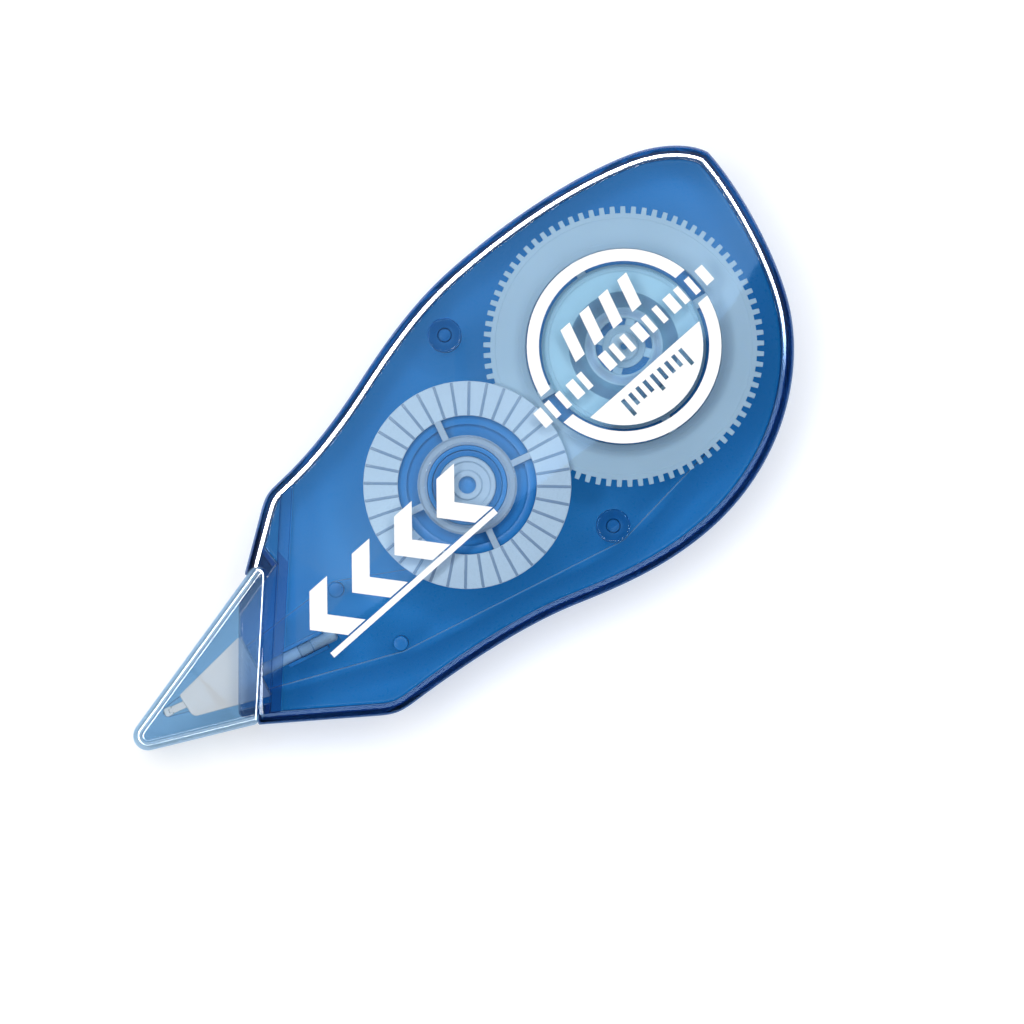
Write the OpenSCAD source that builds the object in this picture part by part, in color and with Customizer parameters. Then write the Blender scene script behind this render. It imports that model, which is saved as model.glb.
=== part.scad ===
// Correction tape roller: flat case with two geared reels, a slip clutch,
// an applicator tip and a slide-off tip cover. Millimetres.
// The back of the case lies on z = 0, the supply axis is the origin,
// +X runs to the butt end and +Z to the clear front face.
// "Upper" and "lower" mean towards +Y and -Y, "behind" means towards the butt end.

/* [Case] */
// Total thickness of the case, back face to front face
case_t = 13.6; // [13.6:0.1:14.6]
// Height of the parting plane between the two shells
split_z = 6.8; // [6.4:0.1:7.2]
// Thickness of the side walls
wall = 1.2; // [1.0:0.1:1.4]
// Thickness of the back floor and the front plate
plate = 1.2; // [1.0:0.1:1.3]
// Radius of the rounded long edges
edge_r = 1.1; // [0.6:0.1:1.2]
// Number of points along each curve of the outline
curve_n = 9; // [6:1:16]
// Outer radius of the two case posts
post_r = 1.95; // [1.7:0.05:2.1]
// Clearance between parts that slide or turn on each other
run_gap = 0.05; // [0.03:0.01:0.08]

/* [Reels] */
// Distance between the supply axis and the take-up axis
reel_dist = 24.1; // [24.1:0.05:24.3]
// Teeth on the supply gear
supply_teeth = 81; // [81]
// Teeth on the take-up pinion
take_teeth = 42; // [42]
// Tip radius of the supply gear
supply_tip_r = 16.2; // [16.1:0.05:16.2]
// Radius of the full supply roll
roll_r = 15.3; // [13:0.1:15.4]
// Radius of the ribbon wound on the take-up spool
used_r = 8.4; // [8.1:0.1:8.5]
// Outer radius of the ribbed take-up flange
flange_r = 12; // [11:0.1:12.2]
// Number of ribs on the take-up flange
flange_ribs = 36; // [24:1:40]
// Radius of the milky hub cap over the clutch
hub_cap_r = 9.2; // [8.6:0.1:9.3]

/* [Tape] */
// Width of the tape
tape_w = 5; // [4.2:0.1:5]
// Thickness of the travelling tape
tape_t = 0.12; // [0.08:0.01:0.15]

/* [Tip] */
// Radius of the tip's round stem
stem_r = 0.7; // [0.6:0.05:0.75]
// Distance between the outer faces of the two side cheeks
cheek_span = 6.1; // [5.9:0.1:6.3]

/* [Cap] */
// Wall of the slide-off cap
cap_wall = 0.8; // [0.7:0.05:0.85]
// Clearance between cap and neck
cap_gap = 0.1; // [0.08:0.01:0.15]

/* [Printing] */
// Thickness of the printed layer on the front face
ink_t = 0.05; // [0.03:0.01:0.08]
// Number of chevrons that point to the tip
chevrons = 4; // [2:1:4]

/* [Hidden] */
$fn = 96;

blue = [0.09, 0.36, 0.66];
clear_blue = [0.30, 0.58, 0.85, 0.35];
ice = [0.62, 0.74, 0.84];
milk = [0.80, 0.88, 0.95, 0.9];
grey = [0.62, 0.70, 0.76];
nib_grey = [0.76, 0.77, 0.79];
spring_grey = [0.45, 0.55, 0.68];
used_white = [0.88, 0.89, 0.90];
white = [0.95, 0.95, 0.94];

// ---- plane geometry ----
function unit(v) = v / norm(v);
function left(v) = [-v.y, v.x];
function heading(v) = atan2(v.y, v.x);
function polar(angle) = [cos(angle), sin(angle)];
function cross_z(a, b) = a.x * b.y - a.y * b.x;
// cubic Bezier through four control points; the end point is left out
function bezier(ctrl, t) = pow(1 - t, 3) * ctrl[0] + 3 * t * pow(1 - t, 2) * ctrl[1]
    + 3 * t * t * (1 - t) * ctrl[2] + t * t * t * ctrl[3];
function curve(ctrl, n = curve_n) = [for (i = [0:n - 1]) bezier(ctrl, i / n)];
// closed counter-clockwise outline moved inwards
function inset(points, depth) = [for (i = [0:len(points) - 1])
    let (n = len(points),
         before = unit(points[i] - points[(i + n - 1) % n]),
         after = unit(points[(i + 1) % n] - points[i]),
         mitre = unit(left(before) + left(after)))
    points[i] + mitre * depth / max(mitre * left(before), 0.5)];
// a line is [point, direction]; its left side is the inside
function line(start, end) = [start, unit(end - start)];
function shift(ln, depth) = [ln[0] + left(ln[1]) * depth, ln[1]];
function along(ln, dist) = ln[0] + ln[1] * dist;
function meet(a, b) = along(a, cross_z(b[0] - a[0], b[1]) / cross_z(a[1], b[1]));
// rounding of a corner that lies between two neighbouring points
function rounded(before, corner, after, radius, n = 6) =
    let (u = unit(before - corner), v = unit(after - corner), half_angle = acos(u * v) / 2,
         centre = corner + unit(u + v) * radius / sin(half_angle),
         reach = radius / tan(half_angle),
         start = heading(corner + u * reach - centre),
         turn = heading(corner + v * reach - centre) - start,
         sweep = turn > 180 ? turn - 360 : turn < -180 ? turn + 360 : turn)
    [for (i = [0:n]) centre + radius * polar(start + sweep * i / n)];

// ---- outline of the case ----
butt = [22.06, 10.3];
head_upper = [-44.2, 13.26];
head_lower = [-49.2, -13.26];
front_corner = [-50.6, 8.97];
nose = [-60.9, -4.36];
// each curve: start, two control points, end [x, y]
side_upper = concat(
    curve([butt, [21.3, 12.5], [18.4, 14.9], [15.0, 16.16]], 6),
    curve([[15.0, 16.16], [8.0, 18.75], [-1.0, 19.85], [-9.2, 19.85]]),
    curve([[-9.2, 19.85], [-14.5, 19.85], [-19.5, 18.72], [-24.1, 17.5]]),
    curve([[-24.1, 17.5], [-29.0, 16.1], [-34.5, 14.7], [-40.6, 14.62]]),
    curve([[-40.6, 14.62], [-42.2, 14.6], [-42.9, 14.1], head_upper], 4));
side_lower = concat(
    curve([head_lower, [-48.0, -14.1], [-47.4, -14.5], [-45.4, -14.68]], 4),
    curve([[-45.4, -14.68], [-39.5, -15.15], [-30.7, -16.2], [-24.1, -18.5]]),
    curve([[-24.1, -18.5], [-18.5, -20.5], [-13.0, -22.35], [-6.3, -22.35]]),
    curve([[-6.3, -22.35], [4.4, -22.35], [13.27, -16.46], [17.3, -9.2]]),
    curve([[17.3, -9.2], [19.97, -4.39], [22.15, 4.6], butt], 8));
outline = concat(side_upper,
    [head_upper, [-50.0, 9.37], [-51.0, 7.0], [-60.3, -3.6], [-60.3, -4.82]],
    side_lower);

// ---- cap and neck ----
rim_upper = [-48.4, 7.6];
rim_lower = [-60.4, -4.6];
upper_edge = line([-51.7, 8.66], [-61.7, 6.46]);
lower_edge = line(nose, [-50.9, -9.61]);
rim = line(rim_lower, rim_upper);
mouth = line([-51.8, 8.4], [-61.4, -2.4]);
cap_z = 0.1;          // cap's faces lie this far inside the case's faces
cap_slot = 0.12;      // gap between cap and case outline
cap_tip_x = -73;
cap_taper_x = -61.6;  // where the cap's faces start to slope
taper_back = 2.3;     // rise of the back face up to the tip
taper_front = 3.91;   // fall of the front face up to the tip
// cap outline moved inwards by depth, with the rim moved by rim_depth
function cap_outline(depth, rim_depth) =
    let (upper = shift(upper_edge, depth), lower = shift(lower_edge, depth),
         back = shift(rim, rim_depth),
         a = meet(back, upper), b = meet(upper, lower), c = meet(lower, back))
    concat(rounded(c, a, b, max(1.0 - depth, 0.25)), rounded(a, b, c, max(1.7 - depth, 0.4)),
           rounded(b, c, a, max(0.5 - depth, 0.2)));
// neck inside the cap's edges, from the shifted mouth to a line behind the rim
function neck_outline(depth, mouth_depth, behind) =
    let (upper = shift(upper_edge, depth), lower = shift(lower_edge, depth),
         front = shift(mouth, mouth_depth), back = shift(rim, -behind))
    [meet(upper, front), meet(front, lower), meet(lower, back), meet(back, upper)];

neck_back = cap_z + cap_wall + cap_gap;
neck_front = case_t - neck_back;
neck_wall = 0.9;
neck_plate = 1;

// room inside the case: the walls' inside, cut off behind the neck's shoulder
cavity = inset(concat(side_upper, [head_upper, front_corner, nose], side_lower), wall);
shoulder = shift(line(rim_upper, rim_lower), 1.22);
room = concat([for (i = [0:len(side_upper) - 1]) cavity[i]],
    [along(shift(line(head_upper, front_corner), wall), 3.6), along(shoulder, -1.2),
     meet(shoulder, shift(line(nose, head_lower), wall))],
    [for (i = [len(side_upper) + 3:len(cavity) - 1]) cavity[i]]);

// ---- heights ----
weld = 0.2;                // overlap that joins inner features to floor and front plate
floor_z = plate - weld;
plate_z = case_t - plate;
roof_z = plate_z + weld;
flange_z = 2.6;            // underside of both drums
flange_t = 0.6;
seat_z = flange_z - 0.1;
tape_z = flange_z + 0.7;
tape_mid = tape_z + tape_w / 2;
drum_top = 8.2;
gear_z = 8.6;
gear_t = 1.2;
gear_top = gear_z + gear_t;
pinion_z = 8.5;
pinion_top = 9.9;
hub_cap_z = 10.4;
reel_top = 11.2;
post_top = 9;
guide_top = 8.5;
face_gap = 0.02;           // between stacked clutch parts

// ---- positions and fits ----
supply = [0, 0];
take = [-reel_dist, 0];
posts = [[-14.6, 14.7], [-14.6, -14.7]];
guide_lower = [-42, -8.6];
guide_upper = [-43.5, 1.0];
guide_r = 0.9;
axle_r = 1.4;
tower_r = 4.6;
tower_bore = 4.05;
tower_plug_r = 3.3;
pin_r = 0.75;
lip_w = 0.55;              // lip's reach into the wall
lip_h = 1;
supply_drum_r = 11.8;
take_drum_r = 7.8;
clutch_neck_r = 4.4;

// ---- tip ----
edge_c = [-67.3, 3.25];    // centre of the edge piece
edge_half = 0.5;
edge_tilt = -17;
slot_w = 0.5;              // slot of the edge piece, and where it starts
slot_x = 0.05;
tongue_w = slot_w - run_gap;
stem_a = [-55.8, -0.39];
stem_b = [-47.5, -2.65];
stem_l = norm(stem_b - stem_a);
stem_ang = heading(stem_b - stem_a);
stem_bore = stem_r + run_gap;
saddle_half = 1.2;
saddle_top = tape_mid + 0.6;
cheek_t = 0.45;
cheek_z = tape_mid - cheek_span / 2;
cheek_top = tape_mid + cheek_span / 2;
cheek_upper = [-55.4, 4.36];
cheek_lower = [-57.2, -3.25];
cheek_nose = [-65.1, 3.85];
cheek = concat([cheek_upper],
    rounded(cheek_upper, cheek_nose, [-65.5, 0.97], 0.25, 3),
    rounded(cheek_nose, [-65.6, 0.9], cheek_lower, 0.8, 5),
    [cheek_lower]);
// corners of the blade [x, y]
blade = [[-55.75, 2.75], [-64.6, 3.35], [-65.2, 3.25],
         [-65.3, 2.35], [-64.2, 1.75], [-57.05, -1.6]];

// ---- shared solids ----
module prism(points, z_from, z_to)
    translate([0, 0, z_from]) linear_extrude(z_to - z_from) polygon(points);
module rod(centre, radius, z_from, z_to)
    translate([centre.x, centre.y, z_from]) cylinder(r = radius, h = z_to - z_from);
module tube(centre, outer, inner, z_from, z_to) difference() {
    rod(centre, outer, z_from, z_to);
    rod(centre, inner, z_from - 1, z_to + 1);
}
// case outline that narrows in steps towards the face at face_z, full width at full_z
module edged(face_z, full_z) {
    dir = face_z < full_z ? 1 : -1;
    for (angle = [0, 25, 50]) {
        z = face_z + dir * edge_r * (1 - cos(angle));
        prism(inset(outline, edge_r * (1 - sin(angle + 12))), min(z, full_z), max(z, full_z));
    }
    z = face_z + dir * edge_r;
    prism(outline, min(z, full_z), max(z, full_z));
}
// evenly spaced radial bars between two radii
module spokes(centre, r_from, r_to, width, z_from, z_to, n, start)
    for (i = [0:n - 1])
        translate([centre.x, centre.y, z_from]) rotate(start + i * 360 / n)
            translate([r_from, -width / 2, 0]) cube([r_to - r_from, width, z_to - z_from]);
// gear outline, first tooth on +X; widths as fractions of the pitch
function gear_points(n, root_r, tip_r, root_w, tip_w) = [for (i = [0:n - 1]) each
    let (mid = i * 360 / n, pitch = 180 / n)
    [root_r * polar(mid - pitch * root_w), tip_r * polar(mid - pitch * tip_w),
     tip_r * polar(mid + pitch * tip_w), root_r * polar(mid + pitch * root_w)]];
// frame with x along the stem, from its head end
module at_stem(z) translate([stem_a.x, stem_a.y, z]) rotate(stem_ang) children();
module on_stem(x_from, x_to, half_w, z_from, z_to, side = 0) at_stem(z_from)
    translate([x_from, side - half_w, 0]) cube([x_to - x_from, 2 * half_w, z_to - z_from]);
module stem_rod(radius, start, length) at_stem(tape_mid) rotate([0, 90, 0])
    translate([0, 0, start]) cylinder(r = radius, h = length);
// block in line with the hook
module hook_stop(z_from, z_to)
    on_stem(stem_l - 0.5, stem_l + 0.5, 0.5, z_from, z_to, side = 1.6);
// frame of the edge piece
module at_edge() translate([edge_c.x, edge_c.y, tape_mid - tape_w / 2])
    rotate(edge_tilt) children();
// bar across the case, parallel to the cap's rim and behind it
module rim_rib(z_from, z_to) {
    near = shift(rim, -1.25);
    far = shift(rim, -2.5);
    intersection() {
        prism(inset(room, -0.3), z_from, z_to);
        prism([along(near, -30), along(far, -30), along(far, 45), along(near, 45)],
              z_from, z_to);
    }
}

// ---- tape path ----
// a wheel is [centre, signed radius]; + lies left of the travel
// tangent between two wheels: its start and end point
function tangent(a, b) =
    let (v = b[0] - a[0], normal = polar(heading(v) + acos((a[1] - b[1]) / norm(v))))
    [a[0] + normal * a[1], b[0] + normal * b[1]];
// clockwise arc on a wheel
function arc(wheel, start, end, n) =
    let (first = heading(start - wheel[0]), turn = first - heading(end - wheel[0]),
         sweep = turn < 0 ? turn + 360 : turn)
    [for (i = [0:n]) wheel[0] + wheel[1] * polar(first - sweep * i / n)];
// centre line thickened to both sides
function band(path, thick) =
    let (n = len(path),
         side = [for (i = [0:n - 1])
             left(unit(path[min(i + 1, n - 1)] - path[max(i - 1, 0)])) * thick / 2])
    concat([for (i = [0:n - 1]) path[i] - side[i]],
           [for (i = [n - 1:-1:0]) path[i] + side[i]]);
tape_off = tape_t / 2 + 0.04;  // tape's centre line above the surface it runs on
roll_wheel = [supply, roll_r + tape_off];
post_wheel = [posts[1], post_r + tape_off];
lower_wheel = [guide_lower, guide_r + tape_off];
edge_wheel = [edge_c, edge_half + tape_off + 0.05];
upper_wheel = [guide_upper, guide_r + tape_off];
take_wheel = [take, -(used_r + tape_off)];
roll_to_post = tangent(roll_wheel, post_wheel);
post_to_lower = tangent(post_wheel, lower_wheel);
lower_to_edge = tangent(lower_wheel, edge_wheel);
edge_to_upper = tangent(edge_wheel, upper_wheel);
upper_to_take = tangent(upper_wheel, take_wheel);
// share of the run between guide and tip that belongs to the case
hand_over = 0.42;
loop_gap = 0.1;
run_out = lower_to_edge[1] - lower_to_edge[0];
run_back = edge_to_upper[0] - edge_to_upper[1];
web_out_end = lower_to_edge[0] + run_out * hand_over;
web_return_start = edge_to_upper[1] + run_back * hand_over;

module web(path) prism(band(path, tape_t), tape_mid - tape_w / 2, tape_mid + tape_w / 2);

// ---- case ----
module rear_shell() color(blue) {
    difference() {
        union() {
            difference() {
                edged(0, split_z);
                prism(cap_outline(-cap_slot, -cap_slot), -1, split_z + 1);
            }
            // lip that the front shell fits over
            prism(inset(room, -lip_w), split_z - 0.6, split_z + lip_h);
            prism(neck_outline(neck_back, 0, 1.1), neck_back, split_z);
        }
        prism(room, plate, split_z + 2);
        prism(neck_outline(neck_back + neck_wall, -2, 1.6), neck_back + neck_plate, split_z + 3);
    }
    rim_rib(floor_z, flange_z - 0.4);
    // supply axle with its seat
    tube(supply, axle_r, 0.7, floor_z, reel_top);
    tube(supply, 3.2, 1.2, floor_z, seat_z);
    // take-up tower with its seat
    tube(take, tower_r, tower_bore, floor_z, reel_top);
    tube(take, 5.6, 4.3, floor_z, seat_z);
    for (p = posts) tube(p, post_r, pin_r + run_gap, floor_z, post_top);
    for (p = [guide_lower, guide_upper]) rod(p, guide_r, floor_z, guide_top);
    // saddle of the tip's stem
    difference() {
        on_stem(2.7, stem_l - stem_r - 0.1, saddle_half, floor_z, saddle_top);
        stem_rod(stem_bore, 1, stem_l);
        on_stem(2, stem_l, stem_bore, tape_mid, tape_mid + 2);
    }
    // stops on the hook's back side and past the stem's end
    hook_stop(floor_z, tape_mid - stem_r - 0.2);
    on_stem(stem_l + stem_r + 0.1, stem_l + stem_r + 1.1, saddle_half, floor_z, saddle_top);
}

module front_shell() color(clear_blue) {
    difference() {
        union() {
            difference() {
                edged(case_t, split_z);
                prism(cap_outline(-cap_slot, -cap_slot), split_z - 1, case_t + 1);
            }
            prism(neck_outline(neck_back, 0, 1.1), split_z, neck_front);
        }
        prism(room, split_z - 1, plate_z);
        prism(neck_outline(neck_back + neck_wall, -2, 1.6),
              split_z - 1, neck_front - neck_plate);
        // groove for the rear shell's lip
        prism(inset(room, -lip_w - run_gap), split_z - 1, split_z + lip_h + run_gap);
    }
    rim_rib(9.4, roof_z);
    // locating tube of the take-up tower and ring that keeps the reel down
    tube(take, tower_bore - run_gap, tower_plug_r + 0.05, 8, roof_z);
    tube(take, 5.7, 4.9, reel_top + 0.1, roof_z);
    // upper parts and pins of the case posts
    for (p = posts) {
        rod(p, post_r, post_top + run_gap, roof_z);
        rod(p, pin_r, 4, post_top + 0.5);
    }
    // finger that holds the stem down
    on_stem(4.6, 6.2, 0.8, tape_mid + stem_r + 0.08, roof_z);
    // stop on the hook's front side
    hook_stop(tape_mid + stem_r + 0.2, roof_z);
}

module supply_axle_plug() color(ice) difference() {
    union() {
        rod(supply, 0.68, 8, 11.4);
        rod(supply, 1.65, 11.3, 11.8);
    }
    rod(supply, 0.4, 7, 13);
}

module take_up_axle_plug() color(grey) difference() {
    rod(take, tower_plug_r, 9, 11.6);
    rod(take, 1.0, 8, 13);
    // ring groove in the front face
    tube(take, 2.7, 1.7, 11.2, 12);
}

// ---- cap ----
// cap outline cut to the side profile, moved inwards by depth
module cap_body(depth, rim_depth) {
    back = cap_z + depth;
    front = case_t - back;
    tip_x = cap_tip_x + depth;
    intersection() {
        prism(cap_outline(depth, rim_depth), -1, case_t + 1);
        translate([0, 30, 0]) rotate([90, 0, 0]) linear_extrude(60)
            polygon([[-40, back], [cap_taper_x, back], [tip_x, back + taper_back],
                     [tip_x, front - taper_front], [cap_taper_x, front], [-40, front]]);
    }
}
module cap() color(clear_blue) difference() {
    cap_body(0, 0);
    cap_body(cap_wall, -3);
}

// ---- tip ----
module tip_head() color(nib_grey) {
    prism(cheek, cheek_z, cheek_z + cheek_t);
    prism(cheek, cheek_top - cheek_t, cheek_top);
    prism(blade, cheek_z + 0.4, cheek_top - 0.4);
    // neck and tongue that carry the edge piece
    at_edge() {
        translate([edge_half + 0.02, -0.42, 0]) cube([2.2, 0.84, tape_w]);
        translate([slot_x + run_gap, -tongue_w / 2, 0]) cube([1.5, tongue_w, tape_w]);
    }
    // stem with its hook
    stem_rod(stem_r, -2.4, stem_l + 2.4);
    translate([stem_b.x, stem_b.y, tape_mid]) sphere(r = stem_r);
    translate([stem_b.x, stem_b.y, tape_mid]) rotate(stem_ang) rotate([-90, 0, 0])
        cylinder(r = stem_r, h = 2.1);
}

module tip_edge() color(white) at_edge() difference() {
    translate([-edge_half, -edge_half, 0]) cube([2 * edge_half, 2 * edge_half, tape_w]);
    translate([slot_x, -slot_w / 2, -1]) cube([2, slot_w, tape_w + 2]);
    // chamfers of the two leading corners
    for (s = [-1, 1])
        translate([-edge_half, s * edge_half, -1]) rotate(45)
            translate([-0.14, -0.14, 0]) cube([0.28, 0.28, tape_w + 2]);
}

// ---- tape ----
module tip_loop() color(white)
    web(concat([web_out_end + unit(run_out) * loop_gap],
        arc(edge_wheel, lower_to_edge[1], edge_to_upper[0], 10),
        [web_return_start + unit(run_back) * loop_gap]));

module tape_web_out() color(white)
    web(concat([roll_to_post[0]],
        arc(post_wheel, roll_to_post[1], post_to_lower[0], 5),
        arc(lower_wheel, post_to_lower[1], lower_to_edge[0], 4),
        [web_out_end]));

module tape_web_return() color(white)
    web(concat([web_return_start],
        arc(upper_wheel, edge_to_upper[1], upper_to_take[0], 5),
        [upper_to_take[1]]));

module tape_roll() color(white)
    tube(supply, roll_r, supply_drum_r + run_gap, tape_z, tape_z + tape_w);

module take_up_roll() color(used_white)
    tube(take, used_r, take_drum_r + run_gap, tape_z, tape_z + tape_w);

// ---- supply reel and clutch ----
module supply_gear() color(ice) {
    difference() {
        prism(gear_points(supply_teeth, 15.4, supply_tip_r, root_w = 0.52, tip_w = 0.44),
              gear_z, gear_top);
        rod(supply, 11.3, gear_z - 1, gear_z + 3);
    }
    tube(supply, 9.5, clutch_neck_r + run_gap, gear_z, gear_top);
    spokes(supply, 9.4, 11.5, 1.1, gear_z + 0.1, gear_top - 0.1, n = 4, start = -11);
}

module supply_drum() color(blue) {
    tube(supply, supply_drum_r, 11.0, flange_z, drum_top);
    tube(supply, 12.9, 11.2, flange_z, flange_z + flange_t);
    spokes(supply, 2.2, 11.2, 1.4, flange_z, flange_z + 0.8, n = 4, start = 34);
    tube(supply, 2.6, axle_r + run_gap, flange_z, 8);
    // neck and shoulder of the clutch
    tube(supply, clutch_neck_r, 3.4, flange_z, hub_cap_z);
    tube(supply, 11.4, 4.2, 7.5, drum_top);
}

module friction_ring() color(grey)
    tube(supply, 8.4, 5.4, drum_top + face_gap, gear_z - face_gap);

// split ring
module clutch_spring() color(spring_grey) difference() {
    tube(supply, 6.2, 5.2, gear_top + face_gap, hub_cap_z - face_gap);
    translate([0, 0, gear_z]) rotate(30) translate([0, -0.25, 0]) cube([8, 0.5, 3]);
}

module hub_cap() color(milk) {
    difference() {
        rod(supply, hub_cap_r, hub_cap_z, reel_top);
        rod(supply, 3.25, 10, 12);
    }
    tube(supply, 2.5, axle_r + run_gap, 9.2, reel_top);
    spokes(supply, 2.3, 3.4, 1.1, hub_cap_z + 0.1, reel_top - 0.1, n = 4, start = 34);
}

// ---- take-up reel ----
// the pinion's tooth on +X faces a gap, as the supply gear's tooth count is odd
module take_up_drum() color(blue) {
    difference() {
        prism([for (p = gear_points(take_teeth, 7.78, 8.52, root_w = 0.42, tip_w = 0.2))
                  p + take],
              pinion_z, pinion_top);
        rod(take, 7.0, pinion_z - 1, 11);
    }
    tube(take, take_drum_r, 7.0, flange_z, pinion_z + 0.2);
    tube(take, 10.7, 7.2, flange_z, flange_z + flange_t);
    tube(take, 7.2, 5.2, pinion_z + 0.1, pinion_z + 0.8);
    tube(take, 5.4, tower_r + run_gap, flange_z, pinion_top);
}

module take_up_flange() color(ice) {
    tube(take, flange_r, 8.0, 10.1, 11.05);
    tube(take, 5.75, tower_r + run_gap, pinion_top, reel_top);
    spokes(take, 5.6, 8.2, 0.8, 10.2, 11.0, n = 4, start = -16);
    spokes(take, 8.15, flange_r - 0.1, 0.35, 11.0, 11.15, n = flange_ribs, start = 4);
}

// ---- printed marks ----
ink_top = case_t + ink_t;
print_x = -48.7;  // left end of the chevrons and their underline

module chevron(x) {
    y = -0.5;
    slant = 2.9;
    width = 2.7;
    rise = 6.7 / 2;
    prism([[x, y], [x + slant, y - rise], [x + slant + width, y - rise], [x + width, y],
           [x + slant + width, y + rise], [x + slant, y + rise]], case_t, ink_top);
}
module bar(x, y, width, height) translate([x, y, case_t]) cube([width, height, ink_t]);
module cutter(x, y, width, height) translate([x, y, case_t - 1]) cube([width, height, 3]);

module face_print() color(white) {
    for (i = [0:chevrons - 1]) chevron(print_x + 6.5 * i);
    bar(print_x, -4.75, 25.1, 0.7);
    // ring, open at both sides
    difference() {
        tube(supply, 11.2, 9.8, case_t, ink_top);
        cutter(-20, -1.95, 40, 3.9);
    }
    // lower disc segment with a tick gauge; every fourth tick is long
    difference() {
        rod(supply, 9.1, case_t, ink_top);
        cutter(-20, -3.57, 40, 40);
        for (i = [0:8])
            cutter(-4.5 + i * 1.1, i % 4 == 0 ? -6.8 : -6.1, 0.5, i % 4 == 0 ? 2.3 : 1.6);
    }
    // slanted bars
    for (i = [0:3])
        translate([-5.4 + i * 2.9, 2.3, case_t]) linear_extrude(ink_t)
            polygon([[0, 0], [1.4, 0], [2.5, 3.9], [1.1, 3.9]]);
    // row of upright bars with one left out; every third is wide
    for (i = [0:15]) if (i != 5) bar(-13.0 + i * 1.65, -1.1, i % 3 == 0 ? 1.15 : 0.75, 2.2);
}

rear_shell();
front_shell();
supply_axle_plug();
take_up_axle_plug();
cap();
tip_head();
tip_edge();
tip_loop();
tape_web_out();
tape_web_return();
supply_gear();
supply_drum();
tape_roll();
friction_ring();
clutch_spring();
hub_cap();
take_up_drum();
take_up_flange();
take_up_roll();
face_print();
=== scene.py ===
# Tape dispenser with a clear front, lying on its back. Sizes are in millimetres (z from the back
# face at 0 up to the clear front face at FACE_Z), scaled by MM to metres in the meshes. The tip and
# its cap point to -x, the rounded butt to +x; "upper" and "lower" in the plane mean +y and -y.
# The supply reel turns about the origin, the take-up reel about TAKE_UP.
import math
from math import cos, pi, sin
from math import radians as rad
import bmesh
import bpy
from mathutils import Matrix, Vector


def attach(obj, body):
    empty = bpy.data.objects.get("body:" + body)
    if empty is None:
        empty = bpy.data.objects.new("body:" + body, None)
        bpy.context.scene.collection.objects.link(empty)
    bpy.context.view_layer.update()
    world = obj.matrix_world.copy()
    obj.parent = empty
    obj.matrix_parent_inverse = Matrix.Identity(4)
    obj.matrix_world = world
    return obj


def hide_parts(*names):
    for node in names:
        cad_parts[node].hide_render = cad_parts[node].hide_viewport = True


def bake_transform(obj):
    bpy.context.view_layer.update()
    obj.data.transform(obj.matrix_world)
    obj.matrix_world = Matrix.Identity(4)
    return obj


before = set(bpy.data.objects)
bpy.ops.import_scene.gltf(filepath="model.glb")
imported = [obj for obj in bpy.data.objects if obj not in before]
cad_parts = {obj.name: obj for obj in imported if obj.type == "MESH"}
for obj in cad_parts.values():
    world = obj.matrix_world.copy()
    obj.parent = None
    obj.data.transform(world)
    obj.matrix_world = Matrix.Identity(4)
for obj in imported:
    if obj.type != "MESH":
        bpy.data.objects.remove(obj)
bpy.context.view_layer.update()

MM = 0.001
scene = bpy.context.scene

# ------------------------------------------------------------------ driving sizes (mm)
FACE_Z = 13.6                       # thickness of the case
SPLIT = FACE_Z/2                    # joint of the two shells
WALL = 1.2
PLATE = 1.2                         # front and back plates
ROOF_Z = FACE_Z - PLATE             # inside of the front plate
SINK = 0.2                          # how far inner features run into a plate
IN_ROOF = ROOF_Z + SINK
IN_FLOOR = PLATE - SINK
NECK_IN = 1.0                       # the neck is this much smaller than the cap, on all sides
NECK_TOP = FACE_Z - NECK_IN
NECK_WALL = 0.9
CAP_GAP = 0.12

SUPPLY = Vector((0, 0))
TAKE_UP = Vector((-24.1, 0))
POSTS = [Vector((-14.6, 14.7)), Vector((-14.6, -14.7))]
POST_R = 1.95
GUIDE_LOW = Vector((-42, -8.6))
GUIDE_UP = Vector((-43.5, 1.0))
GUIDE_R = 0.9
SUPPLY_ROLL_R = 15.3
USED_ROLL_R = 8.4
GEAR_TURN = -11.0                   # angles of the first spoke, degrees
CORE_TURN = 34
FLANGE_TURN = -16.0

TIP_EDGE = Vector((-67.3, 3.25))    # centre of the pressing edge
EDGE_HALF = 0.5
EDGE_TURN = rad(-17)
STEM_A = Vector((-55.8, -0.39))     # the tip's stem runs from A into the case to B
STEM_B = Vector((-47.5, -2.65))
STEM_R = 0.7
stem_dir = (STEM_B-STEM_A).normalized()
stem_len = (STEM_B-STEM_A).length
stem_turn = math.atan2(stem_dir.y, stem_dir.x)

MID_Z = 5.8                         # middle of the tape and of the tip
TAPE_W = 5.0
TAPE_T = 0.12
TAPE_Z0 = MID_Z - TAPE_W/2
TAPE_Z1 = TAPE_Z0 + TAPE_W


# ------------------------------------------------------------------ plane geometry
def bezier(a, b, c, d, t):
    return a*(1-t)**3 + b*3*t*(1-t)**2 + c*3*t*t*(1-t) + d*t**3


def curves(points, step=0.55):
    """Cubic curves end to end, joined at every third point, without the last point."""
    points = [Vector(p) for p in points]
    out = []
    for k in range(0, len(points)-3, 3):
        cubic = points[k:k+4]
        length = sum((bezier(*cubic, (i+1)/20) - bezier(*cubic, i/20)).length for i in range(20))
        n = max(3, int(length/step))
        out += [bezier(*cubic, i/n) for i in range(n)]
    return out


def straight(a, b, step=1.2):
    a, b = Vector(a), Vector(b)
    n = max(1, int((b-a).length/step))
    return [a + (b-a)*i/n for i in range(n)]


def left(v):
    return Vector((-v.y, v.x))


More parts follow.
